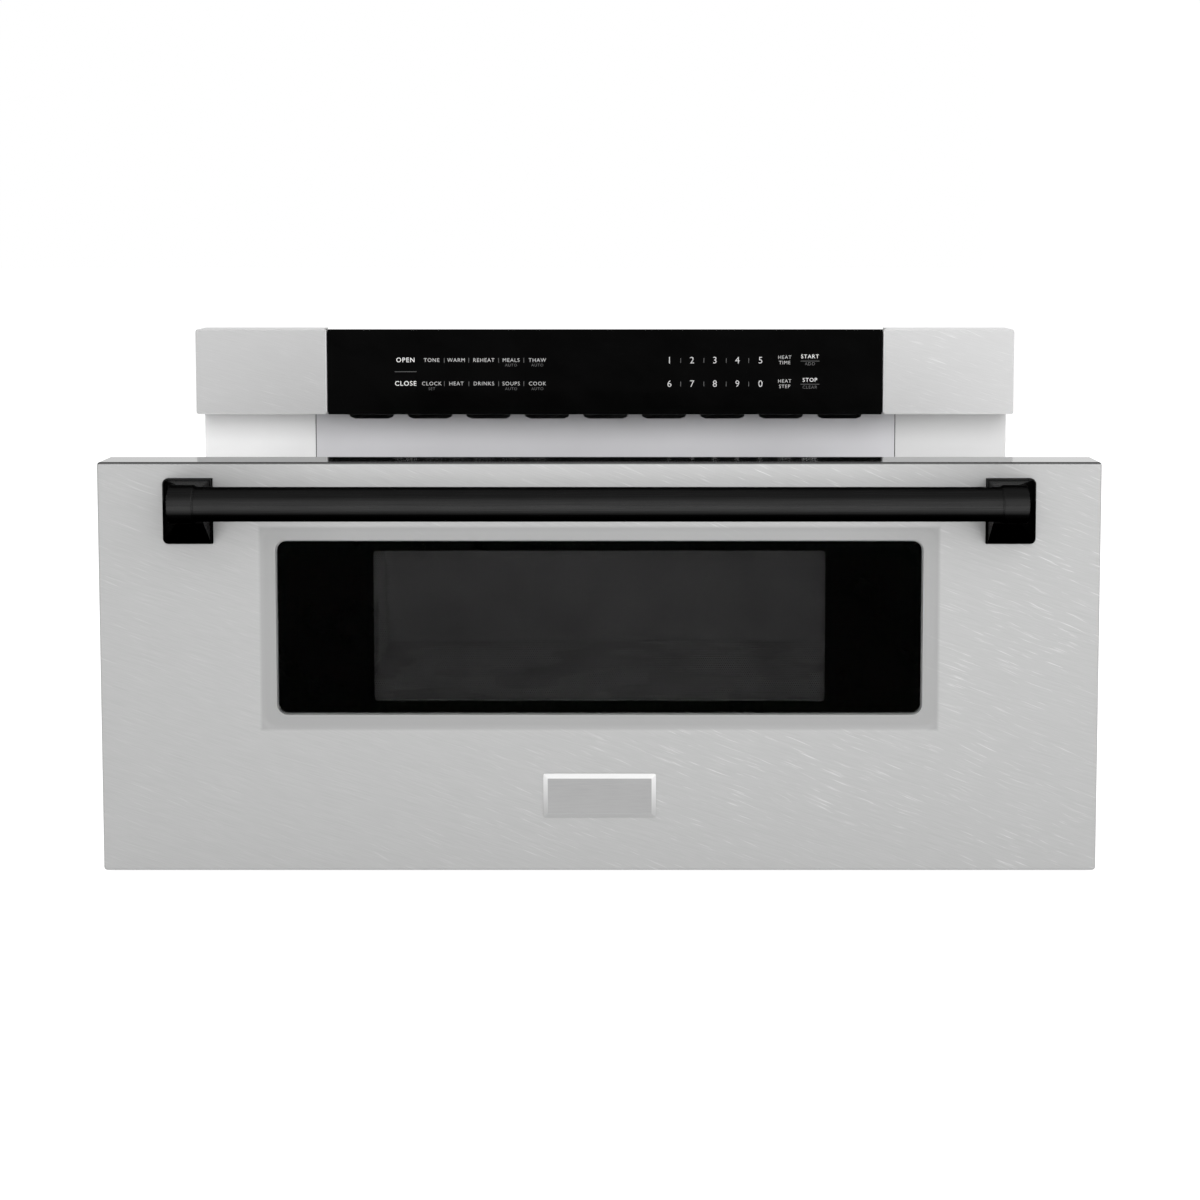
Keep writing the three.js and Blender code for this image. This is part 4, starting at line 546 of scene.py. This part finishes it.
# %% Perforated screen
def perforated(name, tone, pitch, hole):
    material, tree, shader = finish(name, metal=0.6, roughness=0.5)
    row = pitch * math.sqrt(3)
    where = node(tree, "TexCoord").outputs["Object"]
    split = node(tree, "SeparateXYZ", {0: where})
    distances = []
    for shift in (0.0, 0.5):
        parts = []
        for axis, step in (("X", pitch), ("Z", row)):
            turns = maths(tree, "ADD", maths(tree, "DIVIDE", split.outputs[axis], step), shift + 1000.5)
            off = maths(tree, "SUBTRACT", maths(tree, "FRACT", turns), 0.5)
            parts.append(maths(tree, "POWER", maths(tree, "MULTIPLY", off, step), 2.0))
        distances.append(maths(tree, "SQRT", maths(tree, "ADD", *parts)))
    nearest = maths(tree, "MINIMUM", *distances)
    solid = levels(tree, nearest, hole / 2 - 0.00004, hole / 2 + 0.00004)
    cloud = noise(tree, sized(tree, (0.02, 0.02, 0.02)), 2.0, 0.5)
    colour = blend(tree, levels(tree, cloud, 0.3, 0.7), grey(tone - 4), grey(tone + 4))
    wire(tree, shader, colour)
    tree.links.new(solid, shader.inputs["Alpha"])
    return material


screen_dark = perforated("perforated_screen", 54, 0.0016, 0.00095)
print("screen:", screen_dark.name)

# %% [markdown]
# ## Plastics, ceramic and electric parts
# Moulded plastic has a fine spark-eroded grain, the tray of the oven is a glossy smoke-grey glass
# ceramic, and motors and cores are plain industrial steels, with thin laminations on the transformer's
# core.

# %% Plastics
def moulded(name, tone, rough=0.5, tint=(1, 1, 1)):
    material, tree, shader = finish(name)
    grain = noise(tree, sized(tree, (0.0007, 0.0007, 0.0007)), 2.0, 0.6)
    cloud = noise(tree, sized(tree, (0.04, 0.04, 0.04)), 2.0, 0.5)
    mixed = maths(tree, "ADD", maths(tree, "MULTIPLY", grain, 0.4), maths(tree, "MULTIPLY", cloud, 0.6))
    colour = blend(tree, levels(tree, mixed, 0.3, 0.7), grey(tone - 4, tint), grey(tone + 4, tint))
    gloss = levels(tree, mixed, 0.25, 0.75, rough - 0.06, rough + 0.08)
    wire(tree, shader, colour, gloss, grain, 0.25, 0.00006)
    return material


black_mould = moulded("black_moulded_plastic", 30)
choke_mould = moulded("dark_choke_cover", 44, 0.45)
grey_mould = moulded("grey_moulded_plastic", 148, 0.5, (0.99, 1, 1.01))
print("plastics:", black_mould.name, choke_mould.name, grey_mould.name)

# %% Ceramic tray
def ceramic(name, tone, tint):
    material, tree, shader = finish(name)
    shader.inputs["Coat Weight"].default_value = 0.6
    shader.inputs["Coat Roughness"].default_value = 0.08
    fine = noise(tree, sized(tree, (0.0016, 0.0016, 0.0016)), 2.0, 0.5)
    broad = noise(tree, sized(tree, (0.07, 0.07, 0.07)), 2.0, 0.5)
    mixed = maths(tree, "ADD", maths(tree, "MULTIPLY", fine, 0.4), maths(tree, "MULTIPLY", broad, 0.6))
    colour = blend(tree, levels(tree, mixed, 0.3, 0.7), grey(tone - 6, tint), grey(tone + 6, tint))
    wire(tree, shader, colour, levels(tree, broad, 0.2, 0.8, 0.22, 0.34), fine, 0.05, 0.0001)
    return material


tray_ceramic = ceramic("smoke_glass_ceramic", 72, (1, 0.99, 0.98))
print("ceramic:", tray_ceramic.name)

# %% Boards, motors and cores
def circuit(name):
    material, tree, shader = finish(name, roughness=0.4)
    mesh_lines = node(tree, "TexBrick", {"Vector": sized(tree, (0.006, 1, 0.003)), "Scale": 1.0})
    mesh_lines.inputs["Color1"].default_value = grey(58, (0.45, 1.2, 0.6))
    mesh_lines.inputs["Color2"].default_value = grey(64, (0.45, 1.2, 0.6))
    mesh_lines.inputs["Mortar"].default_value = grey(92, (0.55, 1.2, 0.6))
    mesh_lines.inputs["Mortar Size"].default_value = 0.05
    wire(tree, shader, mesh_lines.outputs["Color"])
    return material


def laminated(name, tone):
    material, tree, shader = finish(name, metal=0.7, roughness=0.5)
    sheets = node(tree, "TexWave", {"Vector": sized(tree, (0.004, 1, 1)), "Scale": 1.0, "Distortion": 0.6})
    rust = noise(tree, sized(tree, (0.02, 0.02, 0.02)), 3.0, 0.6)
    colour = blend(tree, sheets.outputs["Fac"], grey(tone - 18), grey(tone + 10))
    colour = blend(tree, levels(tree, rust, 0.55, 0.75, 0, 0.4), colour, grey(72, (1.3, 0.9, 0.6)))
    wire(tree, shader, colour, relief=sheets.outputs["Fac"], strength=0.2, depth=0.0002)
    return material


board_green = circuit("green_circuit_board")
core_iron = laminated("laminated_core", 84)
motor_zinc = zinc("motor_can_steel", 150, 0.003, 0.4)
print("electric parts:", board_green.name, core_iron.name, motor_zinc.name)

# %% [markdown]
# The CAD nodes that stay as they are take these finishes. Each node's own slot in the record says which
# one.

# %% Finishes for the CAD nodes
slot_finish = {
    "brushed_steel": door_steel, "handle_metal": handle_dark, "zinc_sheet": case_zinc,
    "slide_steel": slide_zinc, "pale_enamel": face_enamel, "cavity_enamel": oven_enamel,
    "black_glass": touch_black, "clear_glass": pane_clear, "screen_steel": screen_dark,
    "black_plastic": black_mould, "grey_plastic": grey_mould, "white_ceramic": tray_ceramic,
    "circuit_board": board_green, "motor_steel": motor_zinc, "iron_core": core_iron,
}
dressed = {}
for entry in frame["record"]["subparts"]:
    dressed[entry["node"]] = slot_finish[entry["material_slot"]]
dressed["face_plate_middle"] = middle_enamel
# The right plate takes the darker copy of the enamel, which is painted shade.
dressed["face_plate_right"] = shaded_right_enamel
dressed["choke_cover"] = choke_mould
for name, piece in nodes.items():
    if name in dressed:
        piece.data.materials.clear()
        piece.data.materials.append(dressed[name])
print("dressed", len(dressed), "of", len(nodes), "nodes; left:", sorted(set(nodes) - set(dressed)))

# %% [markdown]
# ## The door's skin
# The front is one sheet of steel, folded back all round, with a shallow pocket pressed in for the window
# and a hole in the pocket's floor to see through. Followed from its back edge round the front and back
# again, such a sheet is a closed stack of rounded outlines. The pocket has two steps: a wide, very
# shallow one that frames the window, and a short one, as deep as the glass is thick, in which the glass
# sits. Bevels then round the folds.

# %% Door skin
def door_skin():
    shape = bmesh.new()
    sheet, front, band, floor = DOOR["sheet"], DOOR["front"], POCKET["band"], POCKET["floor"]
    rim, corner = (POCKET["x"], POCKET["z"]), POCKET["corner"]
    foot = [grown(pair, -POCKET["slope"]) for pair in rim]
    seat = (SEAT["x"], SEAT["z"])
    sections = [
        (grown(DOOR["x"], -sheet), grown(DOOR["z"], -sheet), DOOR["back"], 1.2),
        (DOOR["x"], DOOR["z"], DOOR["back"], DOOR["corner"]),
        (DOOR["x"], DOOR["z"], front, DOOR["corner"]),
        (*rim, front, corner),
        (*foot, band, corner - POCKET["slope"]),
        (*seat, band, SEAT["corner"]),
        (*seat, floor, SEAT["corner"]),
        (SIGHT["x"], SIGHT["z"], floor, SIGHT["corner"]),
        (SIGHT["x"], SIGHT["z"], floor + sheet, SIGHT["corner"]),
        *[(*[grown(pair, sheet) for pair in seat], y + sheet, SEAT["corner"] + sheet) for y in (floor, band)],
        (*foot, band + sheet, corner - POCKET["slope"]),
        (*rim, front + sheet, corner),
        (grown(DOOR["x"], -sheet), grown(DOOR["z"], -sheet), front + sheet, 1.2),
    ]
    rings = stacked(shape, sections, steps=6, lids=False)
    soften(shape, rings[2], 1.5, 4)
    soften(shape, rings[3] + rings[4], 1.4, 4)
    soften(shape, rings[5], 0.35, 3)
    soften(shape, rings[1] + rings[7], 0.3, 1)
    return shape


finished(door_skin(), "door_steel_skin", "drawer", door_steel, ("door_skin",))

# %% [markdown]
# ## The window
# The window is a plate of glass with a black border printed on its back. The clear middle is a little
# smaller than the hole behind it, so the sheet's edge never shows. Border and glass are two pieces: a
# plate of tinted glass, and a thin black frame just behind it. The perforated screen and a clear inner
# pane follow.

# %% Window glass, its border, the screen and the inner pane
def window_glass():
    shape = bmesh.new()
    plate = [(GLASS["x"], GLASS["z"], GLASS[face], GLASS["corner"]) for face in ("front", "back")]
    rings = stacked(shape, plate, steps=6)
    soften(shape, rings[0], 0.6, 3)
    return shape


def window_border():
    shape = bmesh.new()
    near, far = GLASS["back"] + 0.05, GLASS["back"] + 0.2
    outer, inner = (grown(GLASS["x"], -0.2), grown(GLASS["z"], -0.2)), (CLEAR["x"], CLEAR["z"])
    frame_front = [(*outer, far, GLASS["corner"]), (*outer, near, GLASS["corner"])]
    frame_back = [(*inner, near, CLEAR["corner"]), (*inner, far, CLEAR["corner"])]
    stacked(shape, frame_front + frame_back, lids=False)
    return shape


def screen_outline(inset=0):
    return grown(SIGHT["x"], 1 - inset), grown(SIGHT["z"], 1 - inset)


def window_screen():
    shape = bmesh.new()
    plate = [(*screen_outline(), SCREEN[face], SCREEN["corner"]) for face in ("front", "back")]
    rings = stacked(shape, plate)
    soften(shape, rings[0], 0.15, 1)
    return shape


def screen_lip():
    shape = bmesh.new()
    outer, inner = screen_outline(), screen_outline(SCREEN["lip"])
    corner, inner_corner = SCREEN["corner"], SCREEN["corner"] - SCREEN["lip"]
    near, far = SCREEN["back"] + 0.1, SCREEN["lip_end"]
    sections = [(*outer, near, corner), (*outer, far, corner)]
    sections += [(*inner, far, inner_corner), (*inner, near, inner_corner)]
    stacked(shape, sections, lids=False)
    return shape


def inner_pane():
    shape = bmesh.new()
    x, z = grown(SIGHT["x"], -0.3), grown(SIGHT["z"], -0.3)
    rings = stacked(shape, [(x, z, PANE[face], PANE["corner"]) for face in ("front", "back")])
    soften(shape, rings[0] + rings[1], 0.4, 2)
    return shape


finished(window_glass(), "window_tinted_plate", "drawer", window_clear, ("window_glass",))
finished(window_border(), "window_printed_border", "drawer", border_black)
finished(
    window_screen(), "window_perforated_sheet", "drawer", screen_dark, ("window_screen",)
)
finished(screen_lip(), "window_screen_lip", "drawer", case_zinc)
finished(inner_pane(), "window_clear_pane", "drawer", pane_clear, ("window_inner_pane",))

# %% [markdown]
# ## The plaque
# A bevelled bar sits under the window. It is left bare. It is cast metal with a satin lacquer, which
# scatters light more than the bare steel round it: so it is less metallic, and the lamps overhead light
# its upper bevel more than its face. The bevels are modelled as faces, with only a hair of rounding at
# their edges. Light is also painted on them: their colour runs from a middle tone at the bottom to a
# bright painted highlight at the top, and the face is darker.

# %% Plaque
PLAQUE_FACE = [metres(grown(PLAQUE[axis], -PLAQUE["bevel"])) for axis in ("x", "z")]


def lacquered_with_painted_bevels(name, face, low_bevel_shade, top_bevel_highlight):
    """Satin lacquer over cast metal: one tone for the face, and painted light on the bevel faces, brightest
    on top.
    """
    material, tree, shader = finish(name, metal=0.35)
    grain = noise(tree, sized(tree, (0.02, 0.02, 0.0005)), 3.0, 0.6)
    cloud = noise(tree, sized(tree, (0.03, 0.03, 0.02)), 2.0, 0.5)
    mixed = maths(tree, "ADD", maths(tree, "MULTIPLY", grain, 0.6), maths(tree, "MULTIPLY", cloud, 0.4))
    colour = blend(tree, levels(tree, mixed, 0.3, 0.7), grey(face - 5), grey(face + 5))
    # Painted light: the bevel colour runs from a shaded tone at the bottom to a painted highlight at the top.
    rising = levels(tree, coordinate(tree, "Z"), *PLAQUE_FACE[1])
    bevels = blend(tree, rising, grey(low_bevel_shade), grey(top_bevel_highlight))
    colour = blend(tree, inside(tree, *PLAQUE_FACE, 0.0001), bevels, colour)
    wire(tree, shader, colour, levels(tree, cloud, 0.3, 0.7, 0.36, 0.46), grain, 0.08, 0.00003)
    return material


plaque_with_painted_bevel_light = lacquered_with_painted_bevels("satin_plaque_painted_bevel_light", 155, 174, 220)


def plaque():
    shape = bmesh.new()
    x, z, bevel = PLAQUE["x"], PLAQUE["z"], PLAQUE["bevel"]
    rings = stacked(shape, [
        (x, z, PLAQUE["back"], 1.5),
        (x, z, PLAQUE["edge"], 1.5),
        (grown(x, -bevel), grown(z, -bevel), PLAQUE["front"], 0.6),
    ], steps=3)
    soften(shape, rings[2], 0.25, 2)
    return shape


finished(plaque(), "bare_plaque", "drawer", plaque_with_painted_bevel_light, ("plaque",))

# %% [markdown]
# ## The handle
# A round bar runs between two cast brackets. Each bracket has a foot on the door, flat facets that narrow
# as they come forward, and a round collar that holds the bar. The foot and its facets are a block whose
# front face is extruded and drawn in. The collar is a short turned rod. A dark ring fills the joint
# between collar and bar.

# %% Handle bar
def turned(shape, start, end, radius, edge, sides=64):
    """A rod along X on the handle's axis, with rounded rims."""
    made = rod(shape, "X", start, end, radius, (BAR["y"], BAR["z"]), sides)
    soften(shape, rims_of(shape, made, "X"), edge, 3)


def handle_bar():
    shape = bmesh.new()
    turned(shape, -BAR["half"], BAR["half"], BAR["radius"], 0.4, 96)
    return shape


def handle_bracket(side):
    shape = bmesh.new()
    x = sorted(side * end for end in FOOT["x"])
    outer_x = side * FOOT["x"][1] * MM
    block(shape, x, FOOT["y"], FOOT["z"])
    outer = [
        e for e in shape.edges
        if abs(e.verts[0].co.y - e.verts[1].co.y) > MM and abs(e.verts[0].co.x - outer_x) < 1e-5
    ]
    soften(shape, outer, FOOT["corner"], 5)
    front = min(shape.faces, key=lambda f: f.calc_center_median().y)
    soften(shape, list(front.edges), 0.9, 3)
    front = min(shape.faces, key=lambda f: f.calc_center_median().y)
    drawn_in = bmesh.ops.extrude_discrete_faces(shape, faces=[front])["faces"][0]
    middle = drawn_in.calc_center_median()
    corners = [v.co for v in drawn_in.verts]
    width, tall = (max(c[i] for c in corners) - min(c[i] for c in corners) for i in (0, 2))
    target = Vector((side * ARM["x"], BAR["y"], BAR["z"] - ARM["drop"])) * MM
    shrink = (ARM["wide"] * MM / width, 1, ARM["tall"] * MM / tall)
    bmesh.ops.scale(shape, vec=shrink, space=Matrix.Translation(-middle), verts=drawn_in.verts)
    bmesh.ops.translate(shape, vec=target - middle, verts=drawn_in.verts)
    turned(shape, *sorted(side * end for end in COLLAR["x"]), COLLAR["radius"], 0.9)
    return shape


def joint_ring(side):
    shape = bmesh.new()
    turned(shape, *sorted(side * end for end in JOINT["x"]), JOINT["radius"], 0.2)
    return shape


finished(handle_bar(), "handle_round_bar", "drawer", handle_dark, ("handle_bar",))
for name, side in SIDES:
    finished(
        handle_bracket(side), "handle_cast_bracket_" + name, "drawer", handle_dark,
        ("handle_bracket_" + name,), sharp=24,
    )
    finished(joint_ring(side), "handle_joint_ring_" + name, "drawer", handle_dark)

# %% [markdown]
# ## The control panel
# A black glass plate with printed key legends sits between two ends of folded steel. The ends are deep
# trays open at the back. Their corners are round, and beside the glass they turn back only as far as the
# glass is thick. So each is a shallow tray of stacked outlines, and behind it a sleeve of the same
# outlines, whose inner side is cut away by a plane.

# %% Touch glass and steel ends
def touch_glass():
    shape = bmesh.new()
    depths = (PANEL["front"], PANEL["front"] + PANEL["glass"])
    rings = stacked(shape, [(PANEL["glass_x"], PANEL["z"], y, 1) for y in depths], steps=3)
    soften(shape, rings[0], 0.5, 3)
    return shape


def rounded_front(x, z, front, corner, edge, steps=5):
    """Outlines that take a plate's edge through a quarter circle, from its side to its front."""
    turns = [math.radians(90 * step / steps) for step in range(steps + 1)]
    insets = [edge * (1 - math.cos(turn)) for turn in turns]
    depths = [front + edge * (1 - math.sin(turn)) for turn in turns]
    return [(grown(x, -inset), grown(z, -inset), y, corner - inset) for inset, y in zip(insets, depths)]


def control_end(side):
    shape = bmesh.new()
    outer = (sorted(side * end for end in END["x"]), PANEL["z"])
    inner = [grown(pair, -END["sheet"]) for pair in outer]
    behind_glass, back = PANEL["front"] + PANEL["glass"] - 0.4, END["back"]
    sleeve = [(*outer, behind_glass + 0.02, END["corner"]), (*outer, back, END["corner"])]
    sleeve += [(*inner, back, END["inner"]), (*inner, behind_glass + 0.02, END["inner"])]
    stacked(shape, sleeve, lids=False)
    place, facing = Vector((side * END["lip"] * MM, 0, 0)), Vector((-side, 0, 0))
    whole = shape.verts[:] + shape.edges[:] + shape.faces[:]
    bmesh.ops.bisect_plane(shape, geom=whole, plane_co=place, plane_no=facing, clear_outer=True)
    bmesh.ops.holes_fill(shape, edges=shape.edges, sides=4)
    tray = [(*inner, y, END["inner"]) for y in (PANEL["front"] + END["sheet"], behind_glass)]
    tray.append((*outer, behind_glass, END["corner"]))
    stacked(shape, tray + rounded_front(*outer, PANEL["front"], END["corner"], END["edge"]))
    return shape


finished(touch_glass(), "touch_glass_plate", "case", touch_black, ("touch_glass",))
for name, side in SIDES:
    end = finished(
        control_end(side), "control_steel_end_" + name, "case", end_steel[name],
        ("control_end_" + name,),
    )
    print(name, "end spans X", [round(v[0] * 1000, 2) for v in (end.bound_box[0], end.bound_box[6])])

# %% [markdown]
# The face behind the door is three enamelled plates. A thin black rubber strip fills each seam between
# them, a little behind the face.

# %% Seam gaskets
def seam_gasket(side, beside):
    """A strip between the middle plate of the face and the plate beside it."""
    (low, high), neighbour = box_mm("face_plate_middle"), box_mm(beside)
    seam = (neighbour[1][0], low[0]) if side < 0 else (high[0], neighbour[0][0])
    shape = bmesh.new()
    block(shape, grown(seam, -0.05), (low[1] + 0.5, high[1]), grown((low[2], high[2]), -0.3))
    soften(shape, shape.edges[:], 0.12, 2)
    return shape


for name, side in SIDES:
    strip = seam_gasket(side, "face_plate_" + name)
    finished(strip, "face_seam_gasket_" + name, "case", black_mould)

# %% [markdown]
# The key legends are printed on the glass. They are plain numerals and everyday words, set as text,
# turned into flat meshes, and laid 0.05 mm in front of the glass. The keys that open, close, start and
# stop are bright, the rest dimmer.

# %% Key legends
def printed(name, tone):
    material, tree, shader = finish(name, roughness=0.5)
    wear = noise(tree, sized(tree, (0.002, 0.002, 0.002)), 2.0, 0.6)
    colour = blend(tree, levels(tree, wear, 0.3, 0.7), grey(tone - 12), grey(tone + 8))
    wire(tree, shader, colour)
    return material


inks = {"bright": printed("bright_legend_ink", 238), "plain": printed("plain_legend_ink", 196),
        "faint": printed("faint_legend_ink", 92)}
KEYS = (-160.6, -137.8, -112.3, -87.0, -62.6)
DIGITS = (59.8, 80.7, 101.9, 122.8, 144.2)
INK_DEPTH = 0.05


def words_at(words, places, tall, ink):
    """Words of one height and ink, each with its own place, an X and a Z."""
    return [(word, *place, tall, ink) for word, place in zip(words.split(), places)]


LEGENDS = [
    *words_at("OPEN CLOSE", [(-184.8, z) for z in (370.4, 348.6)], 4.3, "bright"),
    *words_at("TONE WARM REHEAT MEALS THAW", [(x, 370.3) for x in KEYS], 3.5, "plain"),
    *words_at("AUTO AUTO", [(x, 365.7) for x in KEYS[3:]], 2.6, "faint"),
    *words_at("CLOCK HEAT DRINKS SOUPS COOK", [(x, 348.5) for x in KEYS], 3.5, "plain"),
    *words_at("SET AUTO AUTO", [(x, 343.7) for x in (KEYS[0], *KEYS[3:])], 2.6, "faint"),
    *words_at("1 2 3 4 5", [(x, 370.1) for x in DIGITS], 6.2, "plain"),
    *words_at("6 7 8 9 0", [(x, 348.3) for x in DIGITS], 6.2, "plain"),
    *words_at("HEAT TIME HEAT STEP", [(166.6, z) for z in (373.0, 368.0, 350.9, 345.9)], 3.2, "plain"),
    *words_at("START STOP", [(190.0, z) for z in (373.7, 351.9)], 3.6, "bright"),
    *words_at("ADD CLEAR", [(190.0, z) for z in (366.9, 345.2)], 2.9, "faint"),
]


def lettered(words, x, z, tall, ink):
    """A line of text with capitals of a given height, centred on X and Z, as a bmesh-ready mesh."""
    text = bpy.data.curves.new("legend", "FONT")
    text.body, text.size, text.align_x, text.align_y = words, tall / 0.70 * MM, "CENTER", "CENTER"
    text.offset = 0.0 if ink == "bright" else -0.00003
    text.space_character = 1.16
    text.resolution_u = 3
    held = bpy.data.objects.new("legend", text)
    bpy.context.scene.collection.objects.link(held)
    mesh = bpy.data.meshes.new_from_object(held)
    bpy.data.objects.remove(held)
    upright = Matrix.Rotation(math.radians(90), 4, "X")
    mesh.transform(Matrix.Translation(Vector((x, PANEL["front"] - INK_DEPTH, z)) * MM) @ upright)
    return mesh


def legend_sheet(ink):
    shape = bmesh.new()
    for words, x, z, tall, used in LEGENDS:
        if used == ink:
            shape.from_mesh(lettered(words, x, z, tall, ink))
    return shape


def ruled(shape, x, z):
    """A thin printed line on the glass."""
    y = (PANEL["front"] - INK_DEPTH, PANEL["front"] - INK_DEPTH + 0.01)
    block(shape, x, y, z)


faint = legend_sheet("faint")
for x in (-148.9, -126.2, -98.6, -75.2):
    for z in (370.3, 348.5):
        ruled(faint, (x - 0.25, x + 0.25), (z - 2.2, z + 2.2))
for x in (70.2, 91.7, 112.4, 133.3):
    for z in (370.1, 348.3):
        ruled(faint, (x - 0.25, x + 0.25), (z - 2.2, z + 2.2))
ruled(faint, (-194.9, -174.6), (359.4, 359.9))
for z in (369.6, 348.1):
    ruled(faint, (181.4, 198.8), (z - 0.2, z + 0.2))
finished(faint, "legends_faint", "case", inks["faint"])
finished(legend_sheet("plain"), "legends_plain", "case", inks["plain"])
finished(legend_sheet("bright"), "legends_bright", "case", inks["bright"])

# %% [markdown]
# ## Fasteners
# The case and the door's inner pan are held by sheet-metal screws with a washer and a hexagonal head.
# Each group stands on one face of a CAD node, whose place comes from the frame.

# %% Screws
WASHER = (-0.1, 0.8, 4.6, 24)
HEXAGON = (0.7, 2.5, 3.4, 6)


def hex_screws(shape, axis, face, out, places):
    """Heads on a face, which point out along an axis, by 1 or -1. A place holds the two other coordinates.

    The washer and the hexagon each have two depths, a radius and a number of sides.
    """
    for place in places:
        for near, far, radius, sides in (WASHER, HEXAGON):
            ends = sorted((face + out * near, face + out * far))
            head = rod(shape, axis, *ends, radius, place, sides)
            soften(shape, rims_of(shape, head, axis), 0.25, 2)


def case_screws():
    shape = bmesh.new()
    low, high = box_mm("case_side_left")[0], box_mm("case_side_right")[1]
    ends = (low[1] + 9, high[1] - 9)
    heights = (low[2] + 24, (low[2] + high[2]) / 2, high[2] - 24)
    for face, out in ((low[0], -1), (high[0], 1)):
        hex_screws(shape, "X", face, out, [(y, z) for y in ends for z in heights])
    side = high[0] - 7
    lengthwise = [low[1] + (high[1] - low[1]) * share for share in (0.08, 0.36, 0.64, 0.92)]
    hex_screws(shape, "Z", high[2], 1, [(x, y) for x in (-side, side) for y in lengthwise])
    rear = box_mm("case_rear")[1][1]
    hex_screws(shape, "Y", rear, 1, [(x, z) for x in (-side, side) for z in heights])
    edges = grown((low[2], high[2]), -7)
    hex_screws(shape, "Y", rear, 1, [(x, z) for x in (-side / 2, 0, side / 2) for z in edges])
    return shape


def pan_screws():
    shape = bmesh.new()
    low, high = box_mm("door_frame")
    side, face = high[0] - 10, high[1]
    hex_screws(shape, "Y", face, 1, [(x, z) for x in (-side, side) for z in (low[2] + 16, 158, high[2] - 16)])
    hex_screws(shape, "Y", face, 1, [(x, z) for x in (-150, 150) for z in (low[2] + 14, high[2] - 5.5)])
    return shape


finished(case_screws(), "case_hex_screws", "case", slide_zinc)
finished(pan_screws(), "door_pan_screws", "drawer", slide_zinc)

# %% [markdown]
# ## Studio
# The appliance stands on a white floor in a white room with a dimmer ceiling and a slightly dimmer left
# side. The floor stays a real diffuse surface, so it keeps the shadow. Rays from the camera, and rays
# that left metal or glass, see it brighter, up to white. The room is white for the same rays, and a soft
# grey light for everything else.

# %% Floor
def direct_rays(tree, seen=1.0, mirrored=1.0):
    """One strength for rays from the camera or through glass, one for mirrored rays, and nought else."""
    path = node(tree, "LightPath")
    straight = maths(tree, "MAXIMUM", path.outputs["Is Camera Ray"], path.outputs["Is Transmission Ray"])
    glossy = maths(tree, "MULTIPLY", path.outputs["Is Glossy Ray"], mirrored)
    return maths(tree, "MAXIMUM", maths(tree, "MULTIPLY", straight, seen), glossy)


def studio_floor(tone, lift, mirrored):
    """A floor of a tone, lifted by one strength where it is seen and by another where it is mirrored."""
    material, tree, shader = finish("white_studio_floor", roughness=0.9)
    shader.inputs["Specular IOR Level"].default_value = 0.0
    cloud = noise(tree, sized(tree, (0.6, 0.6, 1)), 1.0, 0.4)
    colour = blend(tree, cloud, grey(tone - 1), grey(tone + 1))
    shader.inputs["Emission Color"].default_value = (1, 1, 1, 1)
    tree.links.new(direct_rays(tree, lift, mirrored), shader.inputs["Emission Strength"])
    wire(tree, shader, colour)
    shape = bmesh.new()
    bmesh.ops.create_grid(shape, x_segments=1, y_segments=1, size=25)
    bmesh.ops.translate(shape, vec=(0, 0, -0.0006), verts=shape.verts)
    mesh = bpy.data.meshes.new("studio_floor")
    shape.to_mesh(mesh)
    shape.free()
    mesh.materials.append(material)
    floor = bpy.data.objects.new("studio_floor", mesh)
    bpy.context.scene.collection.objects.link(floor)
    return floor


studio_floor(188, 0.86, 0.42)
print("floor made")

# %% World and lamps
def studio_world(soft, ceiling):
    """A white room for direct rays, with a dim ceiling for reflections, and a soft light for the rest."""
    world = bpy.data.worlds.new("studio")
    bpy.context.scene.world = world
    world.use_nodes = True
    tree = world.node_tree
    direction = node(tree, "SeparateXYZ", {0: node(tree, "TexCoord").outputs["Generated"]})
    height, side = direction.outputs["Z"], direction.outputs["X"]
    room = levels(tree, height, 0.35, 0.8, 1.0, ceiling)
    room = maths(tree, "MULTIPLY", room, levels(tree, side, -0.7, 0.7, 0.78, 1.14))
    seen = node(tree, "LightPath").outputs["Is Camera Ray"]
    room = maths(tree, "MAXIMUM", room, seen)
    chosen = node(tree, "Mix", {0: direct_rays(tree), 2: soft, 3: room}, data_type="FLOAT").outputs[0]
    background = tree.nodes["Background"]
    background.inputs["Color"].default_value = (1, 1, 1, 1)
    tree.links.new(chosen, background.inputs["Strength"])


def softbox(name, place, aim, size, power):
    lamp = bpy.data.lights.new(name, "AREA")
    lamp.shape, lamp.size, lamp.size_y, lamp.energy = "RECTANGLE", size[0], size[1], power
    held = bpy.data.objects.new(name, lamp)
    held.location = place
    held.rotation_euler = (Vector(aim) - Vector(place)).to_track_quat("-Z", "Y").to_euler()
    bpy.context.scene.collection.objects.link(held)
    held.visible_camera = False
    held.visible_glossy = False
    return held


studio_world(0.55, 0.3)
softbox("key_softbox", (0.35, -3.2, 1.15), (0, -0.4, 0.25), (2.6, 2.2), 87)
softbox("overhead_softbox", (0, -0.4, 2.8), (0, -0.4, 0), (2.4, 2.0), 20)
bpy.context.scene.view_settings.view_transform = "Standard"
print("world and lamps made")
